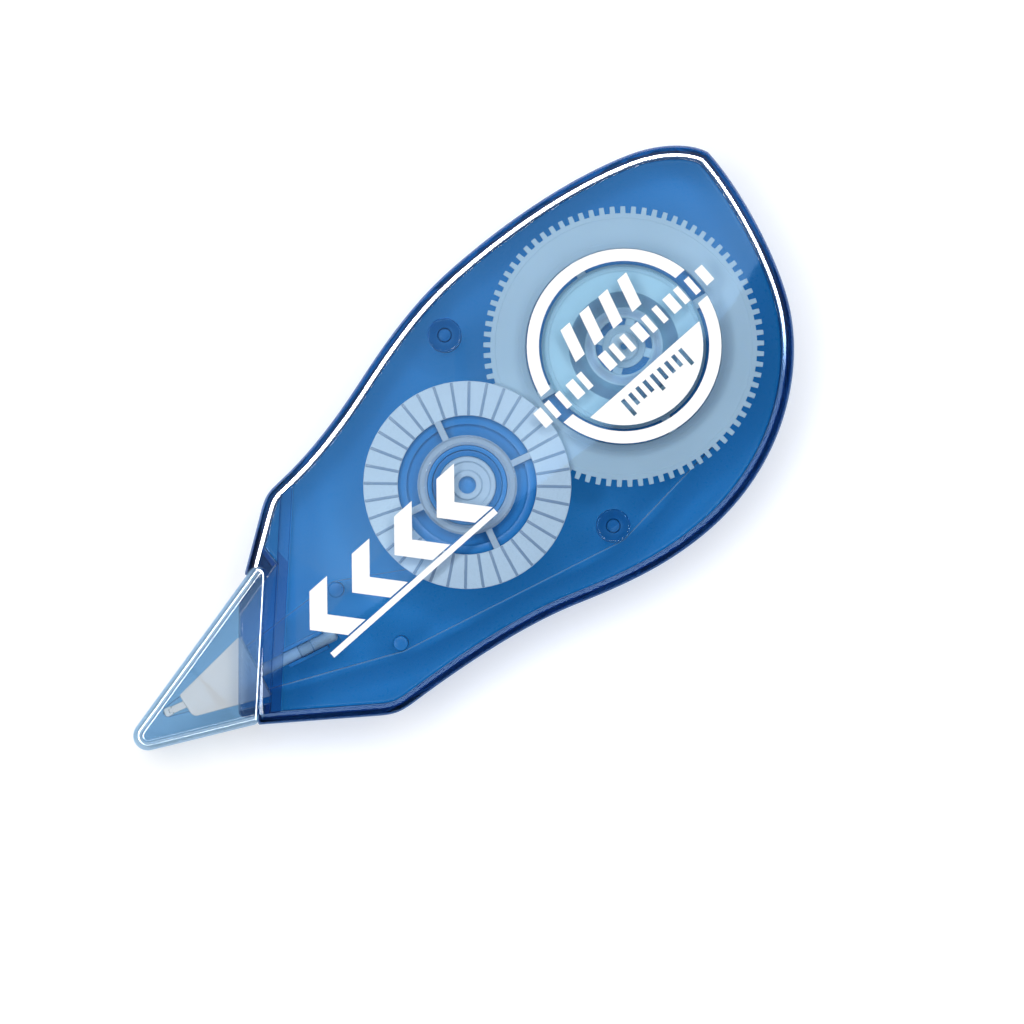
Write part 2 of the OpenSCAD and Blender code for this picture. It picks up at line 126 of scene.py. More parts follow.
def inset(points, distance):
    """Closed anticlockwise outline moved inwards, with its mitres limited."""
    out = []
    for i, here in enumerate(points):
        before = left((here - points[i-1]).normalized())
        after = left((points[(i+1) % len(points)] - here).normalized())
        mitre = before + after
        mitre = mitre.normalized() if mitre.length > 1e-6 else before
        out.append(here + mitre*(distance/max(mitre.dot(before), 0.5)))
    return out


class Line:
    def __init__(self, start, way):
        self.start = start
        self.way = way

    def shift(self, distance):
        return Line(self.start + left(self.way)*distance, self.way)


def line(a, b):
    a, b = Vector(a), Vector(b)
    return Line(a, (b-a).normalized())


def cross(a, b):
    return a.x*b.y - a.y*b.x


def meet(a, b):
    return a.start + a.way*(cross(b.start-a.start, b.way)/cross(a.way, b.way))


def rounded(before, corner, after, radius, steps):
    u = (before-corner).normalized()
    v = (after-corner).normalized()
    half = math.acos(max(-1, min(1, u.dot(v))))/2
    centre = corner + (u+v).normalized()*(radius/sin(half))
    start = corner + u*(radius/math.tan(half)) - centre
    end = corner + v*(radius/math.tan(half)) - centre
    a0 = math.atan2(start.y, start.x)
    turn = math.atan2(end.y, end.x) - a0
    if turn > pi:
        turn -= 2*pi
    if turn < -pi:
        turn += 2*pi
    angles = [a0+turn*i/steps for i in range(steps+1)]
    return [centre + Vector((cos(a), sin(a)))*radius for a in angles]


def rounded_polygon(corners, rounds):
    """The first len(rounds) corners, each rounded by its (radius, steps)."""
    out = []
    for i, (radius, steps) in enumerate(rounds):
        after = corners[(i+1) % len(corners)]
        out += rounded(corners[i-1], corners[i], after, radius, steps)
    return out


# ------------------------------------------------------------------ outlines of case, neck and cap
# Bezier points x, y: ends and handles in turn, anticlockwise from the butt
BUTT = (22.06, 10.3)
UPPER_CORNER = (-44.2, 13.26)
LOWER_CORNER = (-49.2, -13.26)
UPPER_SLOPE_END = (-50.6, 8.97)
NOSE = (-60.9, -4.36)

side_upper = curves([
    BUTT, (21.3, 12.5), (18.4, 14.9), (15.0, 16.16), (8.0, 18.75), (-1.0, 19.85),
    (-9.2, 19.85), (-14.5, 19.85), (-19.5, 18.72), (-24.1, 17.5), (-29.0, 16.1), (-34.5, 14.7),
    (-40.6, 14.62)])
corner_upper = curves([(-40.6, 14.62), (-42.2, 14.6), (-42.9, 14.1), UPPER_CORNER], 0.4)
corner_lower = curves([LOWER_CORNER, (-48.0, -14.1), (-47.4, -14.5), (-45.4, -14.68)], 0.4)
side_lower = curves([
    (-45.4, -14.68), (-39.5, -15.15), (-30.7, -16.2), (-24.1, -18.5), (-18.5, -20.5),
    (-13.0, -22.35), (-6.3, -22.35), (4.4, -22.35), (13.27, -16.46), (17.3, -9.2),
    (19.97, -4.39), (22.15, 4.6), BUTT])
outline = (side_upper + corner_upper + straight(UPPER_CORNER, (-50.0, 9.37))
           + [Vector(p) for p in ((-50.0, 9.37), (-51.0, 7.0), (-60.3, -3.6))]
           + straight((-60.3, -4.82), LOWER_CORNER) + corner_lower + side_lower)

slope_upper = line(UPPER_CORNER, UPPER_SLOPE_END)
slope_lower = line(NOSE, LOWER_CORNER)
# sides of the cap, its rim against the case in both directions, and the mouth of the neck
cap_upper = line((-51.7, 8.66), (-61.7, 6.46))
cap_lower = line(NOSE, (-50.9, -9.61))
rim_down = line((-48.4, 7.6), (-60.4, -4.6))
rim_up = line((-60.4, -4.6), (-48.4, 7.6))
mouth = line((-51.8, 8.4), (-61.4, -2.4))


def cap_outline(side_in, rim_in, steps=10):
    upper, lower = cap_upper.shift(side_in), cap_lower.shift(side_in)
    rim = rim_up.shift(rim_in)
    corners = [meet(rim, upper), meet(upper, lower), meet(lower, rim)]
    return rounded_polygon(corners, [(max(1.0-side_in, 0.25), steps),
                                     (max(1.7-side_in, 0.4), steps),
                                     (max(0.5-side_in, 0.2), steps)])


def neck_corners(side_in, mouth_in, back):
    """Four corners of the neck, reaching back behind the cap's rim."""
    upper, lower = cap_upper.shift(side_in), cap_lower.shift(side_in)
    end, root = mouth.shift(mouth_in), rim_up.shift(-back)
    return [meet(upper, end), meet(end, lower), meet(lower, root), meet(root, upper)]


def room_outline():
    """Inside of the case, closed off along the cap's rim."""
    core = side_upper + corner_upper
    bare = [Vector(p) for p in (UPPER_CORNER, UPPER_SLOPE_END, NOSE)]
    moved = inset(core + bare + corner_lower + side_lower, WALL)
    rim = rim_down.shift(1.22)
    slope = slope_upper.shift(WALL)
    slope_end = slope.start + slope.way*3.6
    n = len(core)
    return (moved[:n] + straight(slope.start, slope_end)
            + [slope_end, rim.start - rim.way*1.2, meet(rim, slope_lower.shift(WALL))]
            + moved[n+len(bare):])


room = room_outline()
cap_pocket = cap_outline(-CAP_GAP, -CAP_GAP)
neck = neck_corners(NECK_IN, 0, 1.1)
neck = rounded_polygon(neck, [(0.8, 5)]*2) + neck[2:]
neck_room = neck_corners(NECK_IN+NECK_WALL, -2, 1.6)


# ------------------------------------------------------------------ mesh helpers
def new_object(name, bm):
    mesh = bpy.data.meshes.new(name)
    bmesh.ops.recalc_face_normals(bm, faces=bm.faces)
    bm.to_mesh(mesh)
    bm.free()
    obj = bpy.data.objects.new(name, mesh)
    scene.collection.objects.link(obj)
    return obj


def vert(bm, x, y, z):
    return bm.verts.new((x*MM, y*MM, z*MM))


def bridge(bm, a, b):
    """Faces between two closed rings, either of which may be a single point."""
    n = max(len(a), len(b))
    for i in range(n):
        j = (i+1) % n
        quad = (a[i % len(a)], a[j % len(a)], b[j % len(b)], b[i % len(b)])
        bm.faces.new(list(dict.fromkeys(quad)))


def loft(outline, profile):
    """Capped solid from (inset, z) stations of one outline, bottom to top."""
    bm = bmesh.new()
    rings = [[vert(bm, p[0], p[1], z) for p in inset(outline, d)] for d, z in profile]
    for a, b in zip(rings, rings[1:]):
        bridge(bm, a, b)
    bm.faces.new(rings[0][::-1])
    bm.faces.new(rings[-1])
    return new_object("part", bm)


def prism(outline, z0, z1, edge0=0.0, edge1=0.0, steps=4):
    """Prism with bottom and top edges rounded by edge0 and edge1."""
    profile = []
    if edge0:
        profile += [(edge0*(1-sin(pi/2*i/steps)), z0+edge0*(1-cos(pi/2*i/steps)))
                    for i in range(steps)]
    profile += [(0, z0+edge0), (0, z1-edge1)]
    if edge1:
        profile += [(edge1*(1-cos(pi/2*i/steps)), z1-edge1+edge1*sin(pi/2*i/steps))
                    for i in range(1, steps+1)]
    return loft(outline, profile)


def lathe(centre, profile, sides=96):
    """Ring from a closed (r, z) profile, or a solid when the profile starts and ends at r = 0."""
    bm = bmesh.new()
    rings = []
    for r, z in profile:
        if r < 1e-6:
            rings.append([vert(bm, centre[0], centre[1], z)])
        else:
            angles = [2*pi*i/sides for i in range(sides)]
            rings.append([vert(bm, centre[0]+r*cos(a), centre[1]+r*sin(a), z) for a in angles])
    solid = profile[0][0] < 1e-6
    for k in range(len(rings)-1 if solid else len(rings)):
        bridge(bm, rings[k], rings[(k+1) % len(rings)])
    return new_object("part", bm)


def quarter(r, z, edge, start, steps=3):
    """Quarter circle about (r, z) in a profile, from a start angle in degrees."""
    angles = [rad(start+90*i/steps) for i in range(steps+1)]
    return [(r+edge*cos(a), z+edge*sin(a)) for a in angles]


def tube(centre, outer, inner, z0, z1, edge=0.12, sides=96, steps=3):
    """Tube with rounded rims."""
    return lathe(centre, quarter(outer-edge, z0+edge, edge, -90, steps)
                 + quarter(outer-edge, z1-edge, edge, 0, steps)
                 + quarter(inner+edge, z1-edge, edge, 90, steps)
                 + quarter(inner+edge, z0+edge, edge, 180, steps), sides)


def rod(centre, radius, z0, z1, edge=0.12, sides=64):
    return lathe(centre, [(0, z0)] + quarter(radius-edge, z0+edge, edge, -90)
                 + quarter(radius-edge, z1-edge, edge, 0) + [(0, z1)], sides)


def box(centre, turn, x0, x1, y0, y1, z0, z1, edge=0.1, steps=2):
    """Box in a frame turned about centre, with all its edges rounded."""
    corners = [Vector(p) for p in ((x0, y0), (x1, y0), (x1, y1), (x0, y1))]
    ct, st = cos(turn), sin(turn)
    points = [Vector((centre[0]+p.x*ct-p.y*st, centre[1]+p.x*st+p.y*ct))
              for p in rounded_polygon(corners, [(edge*1.5, 3)]*4)]
    return prism(points, z0, z1, edge, edge, steps)


def spoke(centre, r0, r1, width, z0, z1, degrees, edge=0.1):
    return box(centre, rad(degrees), r0, r1, -width/2, width/2, z0, z1, edge)


def four_spokes(centre, r0, r1, width, z0, z1, first):
    return [spoke(centre, r0, r1, width, z0, z1, first+90*i) for i in range(4)]


def boolean(obj, tools, operation):
    for tool in tools:
        modifier = obj.modifiers.new("b", "BOOLEAN")
        modifier.operation = operation
        modifier.solver = "MANIFOLD"
        modifier.object = tool
        graph = bpy.context.evaluated_depsgraph_get()
        mesh = bpy.data.meshes.new_from_object(obj.evaluated_get(graph))
        obj.modifiers.clear()
        old = obj.data
        obj.data = mesh
        bpy.data.meshes.remove(old)
        bpy.data.objects.remove(tool)
    return obj


def cut(obj, *tools):
    return boolean(obj, tools, "DIFFERENCE")


def add(obj, *tools):
    return boolean(obj, tools, "UNION")


def keep(obj, *tools):
    return boolean(obj, tools, "INTERSECT")


def merge(*objects):
    """Several closed solids in one mesh, without a boolean."""
    bm = bmesh.new()
    for obj in objects:
        bm.from_mesh(obj.data)
    merged = new_object("part", bm)
    for obj in objects:
        bpy.data.objects.remove(obj)
    return merged


def finish(obj, name, body, material, nodes, sharp=32, weighted=True):
    obj.name = name
    obj.data.name = name
    bm = bmesh.new()
    bm.from_mesh(obj.data)
    bmesh.ops.remove_doubles(bm, verts=bm.verts, dist=2e-6)
    bmesh.ops.dissolve_degenerate(bm, edges=bm.edges, dist=2e-6)
    loose = [e for e in bm.edges if not e.link_faces]
    if loose:
        bmesh.ops.delete(bm, geom=loose, context="EDGES")
    loose = [v for v in bm.verts if not v.link_faces]
    if loose:
        bmesh.ops.delete(bm, geom=loose, context="VERTS")
    for face in bm.faces:
        face.smooth = True
    for edge in bm.edges:
        if len(edge.link_faces) == 2:
            edge.smooth = edge.calc_face_angle(0) < rad(sharp)
    bm.to_mesh(obj.data)
    bm.free()
    obj.data.materials.clear()
    obj.data.materials.append(material)
    if weighted:
        modifier = obj.modifiers.new("normals", "WEIGHTED_NORMAL")
        modifier.keep_sharp = True
        modifier.weight = 60
    if nodes:
        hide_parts(*nodes)
    if body:
        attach(obj, body)
    return obj


# ------------------------------------------------------------------ shader node helpers
class Nodes:
    """Node tree of a material or world. Values may be numbers, colours or sockets to link."""

    def __init__(self, owner):
        owner.use_nodes = True
        self.owner = owner
        self.tree = owner.node_tree

    def put(self, socket, value):
        if isinstance(value, bpy.types.NodeSocket):
            self.tree.links.new(value, socket)
        elif socket.type == "RGBA":
            socket.default_value = (*value, 1)
        else:
            socket.default_value = value

    def set(self, node, **settings):
        """Sets inputs (underscores stand for spaces) or, failing that, properties."""
        for key, value in settings.items():
            label = key.replace("_", " ")
            if label in node.inputs:
                self.put(node.inputs[label], value)
            else:
                setattr(node, key, value)

    def node(self, kind, **settings):
        node = self.tree.nodes.new(kind)
        self.set(node, **settings)
        return node

    def make(self, kind, **settings):
        """New node's first output."""
        return self.node(kind, **settings).outputs[0]

    def chain(self, node, *values):
        """Fills the inputs in order."""
        for socket, value in zip(node.inputs, values):
            self.put(socket, value)
        return node

    def noise(self, scale, detail, rough=0.55):
        place = self.node("ShaderNodeTexCoord").outputs["Object"]
        return self.make("ShaderNodeTexNoise", Scale=scale, Detail=detail, Roughness=rough,
                         Vector=place)

    def ramp(self, value, low, high, start=0, end=1, kind="LINEAR"):
        """Maps low..high to start..end."""
        return self.make("ShaderNodeMapRange", interpolation_type=kind, Value=value,
                         From_Min=low, From_Max=high, To_Min=start, To_Max=end)

    def smooth(self, value, low, high, start=0, end=1):
        return self.ramp(value, low, high, start, end, "SMOOTHSTEP")

    def mix(self, factor, a, b, blend="MIX"):
        node = self.node("ShaderNodeMix", data_type="RGBA", blend_type=blend)
        for socket, value in zip([s for s in node.inputs if s.enabled], (factor, a, b)):
            self.put(socket, value)
        return [s for s in node.outputs if s.enabled][0]

    def mix_shader(self, factor, a, b):
        return self.chain(self.node("ShaderNodeMixShader"), factor, a, b).outputs[0]

    def math(self, operation, a, b=0.0):
        return self.chain(self.node("ShaderNodeMath", operation=operation), a, b).outputs[0]

    def vector(self, operation, *values):
        return self.chain(self.node("ShaderNodeVectorMath", operation=operation), *values).outputs

    def times(self, a, b):
        return self.math("MULTIPLY", a, b)

    def above(self, value, limit):
        return self.math("GREATER_THAN", value, limit)

    def below(self, value, limit):
        return self.math("LESS_THAN", value, limit)

    def invert(self, value):
        return self.math("SUBTRACT", 1.0, value)

    def split(self, vector):
        return self.node("ShaderNodeSeparateXYZ", Vector=vector).outputs

    def position(self):
        return self.split(self.node("ShaderNodeTexCoord").outputs["Object"])

    def geometry(self):
        return self.node("ShaderNodeNewGeometry").outputs

    def rays(self):
        return self.node("ShaderNodeLightPath").outputs

    def length(self, x, y):
        return self.math("SQRT", self.math("ADD", self.times(x, x), self.times(y, y)))

    def distance(self, x, y, centre):
        """Distance in the plane from a centre in mm."""
        return self.length(self.math("SUBTRACT", x, centre[0]*MM),
                           self.math("SUBTRACT", y, centre[1]*MM))

    def bump(self, height, strength, depth=0.00003):
        return self.make("ShaderNodeBump", Strength=strength, Distance=depth, Height=height)

    def facing(self):
        """0 face on, 1 edge on."""
        at = self.geometry()
        dot = self.vector("DOT_PRODUCT", at["Normal"], at["Incoming"])["Value"]
        return self.invert(self.math("ABSOLUTE", dot))

    def done(self, shader):
        self.put(self.output.inputs[0], shader)
        return self.owner


def new_material(name):
    m = Nodes(bpy.data.materials.new(name))
    m.tree.nodes.clear()
    m.output = m.node("ShaderNodeOutputMaterial")
    return m


def srgb(*levels):
    levels = [v/255 for v in levels]
    return tuple(v/12.92 if v <= 0.04045 else ((v+0.055)/1.055)**2.4 for v in levels)


def scaled(colour, k):
    return tuple(min(1.0, v*k) for v in colour)


# ------------------------------------------------------------------ materials
def plastic(name, colour, dark, rough, specular=0.5, grain=0.15, grain_depth=0.00003,
            edge=None, painted_floor_glow=None, soft=0.0, clear=0.0, ring=None, stem=None):
    """Moulded plastic: soft clouding down to dark, fine grain in roughness and bump.
    edge: colour at grazing, painted shade; faces towards the front are then dimmed too, also
    painted shade
    painted_floor_glow: painted light, the emission colour that makes the inside of the back plate
    glow though it is no lamp; soft: subsurface weight
    clear: how much the camera sees through; ring: inner, outer radius and colour of a band
    stem: x from which towards +x the plastic takes another colour"""
    m = new_material(name)
    clouds = m.noise(70, 2.0)
    fine = m.noise(3600, 4.0)
    tint = m.mix(m.ramp(clouds, 0.3, 0.7), scaled(colour, dark), scaled(colour, 1.0))
    surface = m.node("ShaderNodeBsdfPrincipled")
    if edge:
        # painted shade: the colour turns towards edge at grazing
        tint = m.mix(m.smooth(m.facing(), 0.35, 0.95), tint, edge)
        # painted shade: faces whose normal points to the front are dimmed
        up = m.above(m.split(m.geometry()["True Normal"])[2], 0.7)
        dim = m.mix(up, (1.0, 1.0, 1.0), (0.82, 0.82, 0.82))
        if painted_floor_glow:
            z = m.position()[2]
            # inside of the back plate, by its height in metres: there the base colour is darkened
            # and a glow of emission added, painted light
            painted_glow_area = m.times(up, m.times(m.below(z, 0.0024), m.above(z, 0.0005)))
            dim = m.mix(painted_glow_area, dim, (0.5, 0.6, 0.6))
            m.set(surface, Emission_Color=painted_floor_glow, Emission_Strength=painted_glow_area)
        tint = m.mix(1.0, tint, dim, "MULTIPLY")
    if ring:
        inner, outer, ring_colour = ring
        blur = 0.08
        x, y, _ = m.position()
        r = m.length(x, y)
        band = m.times(m.smooth(r, (inner-blur)*MM, (inner+blur)*MM),
                       m.smooth(r, (outer-blur)*MM, (outer+blur)*MM, 1, 0))
        tint = m.mix(band, tint, ring_colour)
    if stem:
        stem_x, stem_colour = stem
        blur = 0.0004
        past = m.smooth(m.position()[0], stem_x*MM-blur, stem_x*MM+blur)
        tint = m.mix(past, tint, stem_colour)
    m.set(surface, Base_Color=tint, Roughness=m.ramp(fine, 0.3, 0.7, rough*0.85, rough*1.15),
          Specular_IOR_Level=specular, Coat_Roughness=0.08,
          Normal=m.bump(fine, grain, grain_depth))
    if soft:
        m.set(surface, Subsurface_Weight=soft, Subsurface_Radius=(0.3, 0.6, 1.0),
              Subsurface_Scale=0.001)
    shader = surface.outputs[0]
    if clear:
        glass = m.make("ShaderNodeBsdfTransparent", Color=scaled(colour, 1.3))
        amount = m.ramp(m.rays()["Is Camera Ray"], 0, 1, 0.85, clear)
        shader = m.mix_shader(amount, shader, glass)
    return m.done(shader)


def clear_plastic(name, face, edge, edge_lit, low, low_z, body, haze, through, rough, mirror_max,
                  painted_edge_highlight, painted_highlight_z, painted_highlight_facing, low_lit=None, painted_highlight_off=None, inner=(), spots=(),
                  painted_lit_side_haze=0.0, all_round=False):
    """Clear moulded plastic seen as a thin wall, with a polished surface.
    face, edge, edge_lit: tint face on, and at grazing on the shaded and on the lit side: the deeper
    tint at grazing stands for the thick edge, its split by side is painted shade and painted light,
    seen by the camera only
    low, low_lit: tint below low_z (m), and its paler version on the part towards +y, painted light;
    body, haze: scattering and its share
    through: tint of light passing to what lies behind; mirror_max: limit of the reflection
    painted_edge_highlight: strength of the painted highlight, the reflection made stronger in the
    edge band above painted_highlight_z (m), seen at facing painted_highlight_facing
    painted_highlight_off: x, y below which the painted highlight is left out; inner: circles (x, y,
    r) where the grazing tint is pale, painted light; spots: circles (x, y, r) tinted apart
    painted_lit_side_haze: painted light, extra scattering only on the walls towards the light;
    all_round: the painted highlight on every side, and a paler reflection tint on the shaded side"""
    m = new_material(name)
    facing = m.facing()
    grazing = m.smooth(facing, 0.25, 0.9)
    base = m.mix(m.ramp(m.noise(60, 2.0), 0.3, 0.7), scaled(face, 0.985), face)
    x, y, z = m.position()
    if low_lit:
        # painted light: below low_z the tint is paler towards +y, except near the tip
        lit = m.times(m.smooth(y, -0.009, 0.001), m.above(x, -0.0455))
        low = m.mix(lit, low, low_lit)
    base = m.mix(m.ramp(z, low_z-0.0002, low_z+0.0002, 1, 0), base, low)

    # how far the wall looks towards the light, to +y and a little +x, in the plane: it sets the
    # side of the painted light and shade
    at = m.geometry()
    flat = m.vector("MULTIPLY", at["Normal"], (1, 1, 0))[0]
    level = m.vector("NORMALIZE", flat)[0]
    towards = m.vector("DOT_PRODUCT", level, (0.5, 0.85, 0))["Value"]
    side = m.smooth(towards, -0.25, 0.45)
    # painted shade and painted light: the grazing tint is darker on the side turned from the light
    # and paler on the side towards it
    edge_tint = m.mix(side, edge, edge_lit)

    def within(cx, cy, r):
        return m.below(m.distance(x, y, (cx, cy)), r*MM)

    if inner:
        near = within(*inner[0])
        for circle in inner[1:]:
            near = m.math("MAXIMUM", near, within(*circle))
        # painted light: round the bosses, posts and stem clamps the grazing tint is pale and the
        # lower tint left out
        edge_tint = m.mix(near, edge_tint, (0.8, 0.9, 1.0))
        base = m.mix(near, base, face)
    for circle in spots:
        base = m.mix(m.times(within(*circle), m.below(z, 0.0095)), base, (0.52, 0.74, 0.80))
    tint = m.mix(grazing, base, edge_tint)
    tint = m.mix(m.rays()["Is Camera Ray"], m.mix(1.0, base, through, "MULTIPLY"), tint)

    if painted_lit_side_haze:
        # painted light: extra diffuse haze on grazing walls above 6.5 mm, on the lit side only
        painted_wall_light = m.times(m.times(grazing, side), m.times(m.above(z, 0.0065), painted_lit_side_haze))
        haze = m.math("MAXIMUM", painted_wall_light, haze)
    wall = m.mix_shader(haze, m.make("ShaderNodeBsdfTransparent", Color=tint),
                        m.make("ShaderNodeBsdfDiffuse", Color=body))
    # painted reflection tint: reflections turn blue on the shaded side and stay white on the lit
    # side
    away = (0.8, 0.92, 1.0) if all_round else (0.4, 0.66, 1.0)
    gloss = m.node("ShaderNodeBsdfGlossy", Roughness=rough)
    m.set(gloss, Color=m.mix(side, away, (1.0, 1.0, 1.0)),
          Roughness=m.ramp(m.noise(2500, 2.0), 0.3, 0.7, rough*0.7, rough*1.4))
    fresnel = m.math("SUBTRACT", m.make("ShaderNodeFresnel", IOR=1.49), 0.0)
    amount = m.math("MINIMUM", m.math("MAXIMUM", fresnel, 0.0), mirror_max)

    # the flat face would mirror the ring light whole when seen about 22 degrees off its axis:
    # it does so weakly
    plane = m.above(m.split(at["Normal"])[2], 0.997)
    slant = m.split(at["Incoming"])[2]
    off_axis = m.times(m.smooth(slant, 0.85, 0.885, 0, 0.85), m.smooth(slant, 0.955, 0.975, 1, 0))
    amount = m.times(amount, m.invert(m.times(plane, off_axis)))

    # painted highlight: in a band of facing angles on the edge the reflection is raised far above
    # what the plastic reflects, on the lit side only unless all_round
    rise0, rise1, fall0, fall1 = painted_highlight_facing
    band = m.times(m.smooth(facing, rise0, rise1), m.smooth(facing, fall0, fall1, 1, 0))
    band = m.times(m.times(band, m.invert(plane)), m.above(z, painted_highlight_z))
    if painted_highlight_off:
        off = m.times(m.below(x, painted_highlight_off[0]*MM), m.below(y, painted_highlight_off[1]*MM))
        band = m.times(band, m.invert(off))
    if not all_round:
        band = m.times(band, m.smooth(towards, -0.35, 0.05, 0.05, 1))
    amount = m.math("MAXIMUM", amount, m.times(band, painted_edge_highlight))
    return m.done(m.mix_shader(amount, wall, gloss.outputs[0]))


def ribbed_plastic(name):
    """Take-up flange: the tops of the ribs and the spokes inside the flange differ in colour."""
    m = new_material(name)
    x, y, z = m.position()
    fine = m.noise(3600, 3.0)
    tint = m.mix(m.ramp(m.noise(80, 2.0), 0.3, 0.7), srgb(192, 212, 229), srgb(198, 217, 232))
    tint = m.mix(m.ramp(z, 0.01107, 0.01111), tint, srgb(124, 148, 176))
    inside = m.ramp(m.distance(x, y, TAKE_UP), 0.00802, 0.00806, 1, 0)
    tint = m.mix(inside, tint, srgb(168, 186, 204))
    return m.done(m.make("ShaderNodeBsdfPrincipled", Base_Color=tint,
                         Roughness=m.ramp(fine, 0.3, 0.7, 0.24, 0.34),
                         Specular_IOR_Level=0.4, Normal=m.bump(fine, 0.12)))


def film(name, colour, wound=None, clear=0.0, rim=None):
    """Coated tape with faint fibre. wound: centre of the fine layers on the ends of a roll
    clear: see-through share; rim: colour of the faces towards front and back"""
    m = new_material(name)
    fibre = m.noise(5200, 5.0, 0.7)
    tint = m.mix(m.ramp(fibre, 0.35, 0.65), scaled(colour, 0.94), colour)
    height = fibre
    if wound:
        layer = 0.00018
        x, y, _ = m.position()
        height = m.math("SINE", m.times(m.distance(x, y, wound), 2*pi/layer))
        tint = m.mix(m.ramp(height, -1, 1, 0, 0.35), tint, scaled(colour, 0.72))
    if rim:
        normal_z = m.split(m.geometry()["True Normal"])[2]
        tint = m.mix(m.above(m.math("ABSOLUTE", normal_z), 0.7), tint, rim)
    shader = m.make("ShaderNodeBsdfPrincipled", Base_Color=tint, Roughness=0.55,
                    Specular_IOR_Level=0.25, Normal=m.bump(height, 0.2))
    if clear:
        glass = m.make("ShaderNodeBsdfTransparent", Color=(0.9, 0.93, 0.95))
        shader = m.mix_shader(clear, shader, glass)
    return m.done(shader)


# blue plastic with painted shade: navy at grazing, and faces towards the front dimmed
case_style = dict(colour=srgb(18, 134, 214), dark=0.96, rough=0.3, specular=0.3,
                  edge=srgb(20, 60, 120))
blue = plastic("blue_moulded", **case_style)
# painted light: the inside of the case's back plate glows blue, though it is no lamp
case_blue = plastic("blue_case_painted_glow", painted_floor_glow=(0.001, 0.066, 0.180), **case_style)
# painted shade and light: navy grazing tint on the shaded side, and on the lit side a pale grazing
# tint, paler lower tint, haze and a raised edge highlight; pale tint round the bosses
clear_blue = clear_plastic(
    "clear_blue_moulded", face=srgb(252, 254, 255), edge=srgb(74, 92, 146),
    edge_lit=srgb(168, 200, 232), low=srgb(170, 190, 222), low_lit=srgb(226, 238, 249),
    low_z=0.0119, body=srgb(84, 152, 214), haze=0.012, painted_lit_side_haze=0.6, through=(0.98, 0.99, 1.0),
    rough=0.016, mirror_max=0.4, painted_edge_highlight=0.5, painted_highlight_z=0.0129,
    painted_highlight_facing=(0.005, 0.010, 0.05, 0.075), painted_highlight_off=(-48, 6.5),
    inner=[(*TAKE_UP, 6.3), *[(*p, 2.3) for p in POSTS], (-50.6, -1.8, 1.6), (-47.4, -2.6, 1.6)],
    spots=[(*p, 1.97) for p in POSTS])
# the cap: painted shade and light in its grazing tints and reflection tint, and a painted edge
# highlight all round
clear_cap = clear_plastic(
    "clear_cap_moulded", face=srgb(252, 253, 254), edge=srgb(180, 212, 236),
    edge_lit=srgb(200, 226, 244), low=srgb(192, 220, 238), low_z=0.0058,
    body=srgb(150, 200, 232), haze=0.03, through=(0.96, 0.98, 1.0), rough=0.04, mirror_max=0.5,
    painted_edge_highlight=0.4, painted_highlight_z=0.0062, painted_highlight_facing=(0.005, 0.010, 0.028, 0.038), all_round=True)
ice = plastic("ice_moulded", srgb(174, 200, 218), dark=0.96, rough=0.34, specular=0.2, soft=0.1)
milky = plastic("milky_moulded", srgb(200, 226, 246), dark=0.985, rough=0.25, clear=0.45,
                specular=0.3, ring=(4.5, 6.35, srgb(112, 140, 172)))
grey = plastic("grey_moulded", srgb(172, 192, 212), dark=0.94, rough=0.38, specular=0.25)
tip_grey = plastic("tip_grey_moulded", srgb(220, 216, 212), dark=0.95, rough=0.42, specular=0.3,
                   stem=(-55.2, srgb(160, 188, 212)))
tip_soft = plastic("tip_soft_moulded", srgb(228, 228, 226), dark=0.96, rough=0.6, specular=0.2)
spring_blue = plastic("spring_moulded", srgb(62, 86, 118), dark=0.92, rough=0.35)
felt = plastic("felt_pressed", srgb(150, 165, 180), dark=0.8, rough=0.95, specular=0.1,
               grain=0.8, grain_depth=0.00006)
ink = plastic("white_print", (0.97, 0.97, 0.97), dark=0.99, rough=0.45, specular=0.2, grain=0.08)
ribbed = ribbed_plastic("ribbed_flange_moulded")
tape_film = film("tape_film", (0.84, 0.85, 0.86), clear=0.15, rim=(0.10, 0.30, 0.60))
ribbon_film = film("ribbon_film", (0.6, 0.66, 0.72), clear=0.6, rim=(0.08, 0.28, 0.58))
tape_roll = film("tape_roll_film", (0.85, 0.85, 0.84), wound=SUPPLY)
used_roll = film("ribbon_roll_film", (0.7, 0.73, 0.74), wound=TAKE_UP)


# ------------------------------------------------------------------ shells
def groove(up):
    """Small parting groove at the joint, upwards (1) or downwards (-1): (inset, z)."""
    return [(d, SPLIT+up*h) for d, h in ((0.14, 0), (0.12, 0.05), (0.03, 0.10), (0.0, 0.17))]


def rim_bar(z0, z1):
    """Bar across the case beside the cap's rim, kept inside the room."""
    n = left(rim_up.way)
    a, b = rim_up.start - n*1.25, rim_up.start - n*2.5
    strip = [a - rim_up.way*30, b - rim_up.way*30, b + rim_up.way*45, a + rim_up.way*45]
    return keep(prism(inset(room, -0.3), z0, z1), prism(strip, z0-1, z1+1))


def stem_box(s0, s1, half_width, z0, z1, side=0.0):
    """Box along the stem from s0 to s1, measured from STEM_A."""
    return box(STEM_A, stem_turn, s0, s1, side-half_width, side+half_width, z0, z1, 0.12)


def stem_rod(radius, s0, s1, edge, at=STEM_A, tilt=Matrix.Rotation(pi/2, 4, "Y")):
    """Rod lying at mid height, along the stem unless tilted otherwise."""
    obj = rod((0, 0), radius, s0, s1, edge, 48)
    place = Matrix.Translation((at.x*MM, at.y*MM, MID_Z*MM))
    obj.data.transform(place @ Matrix.Rotation(stem_turn, 4, "Z") @ tilt)
    return obj


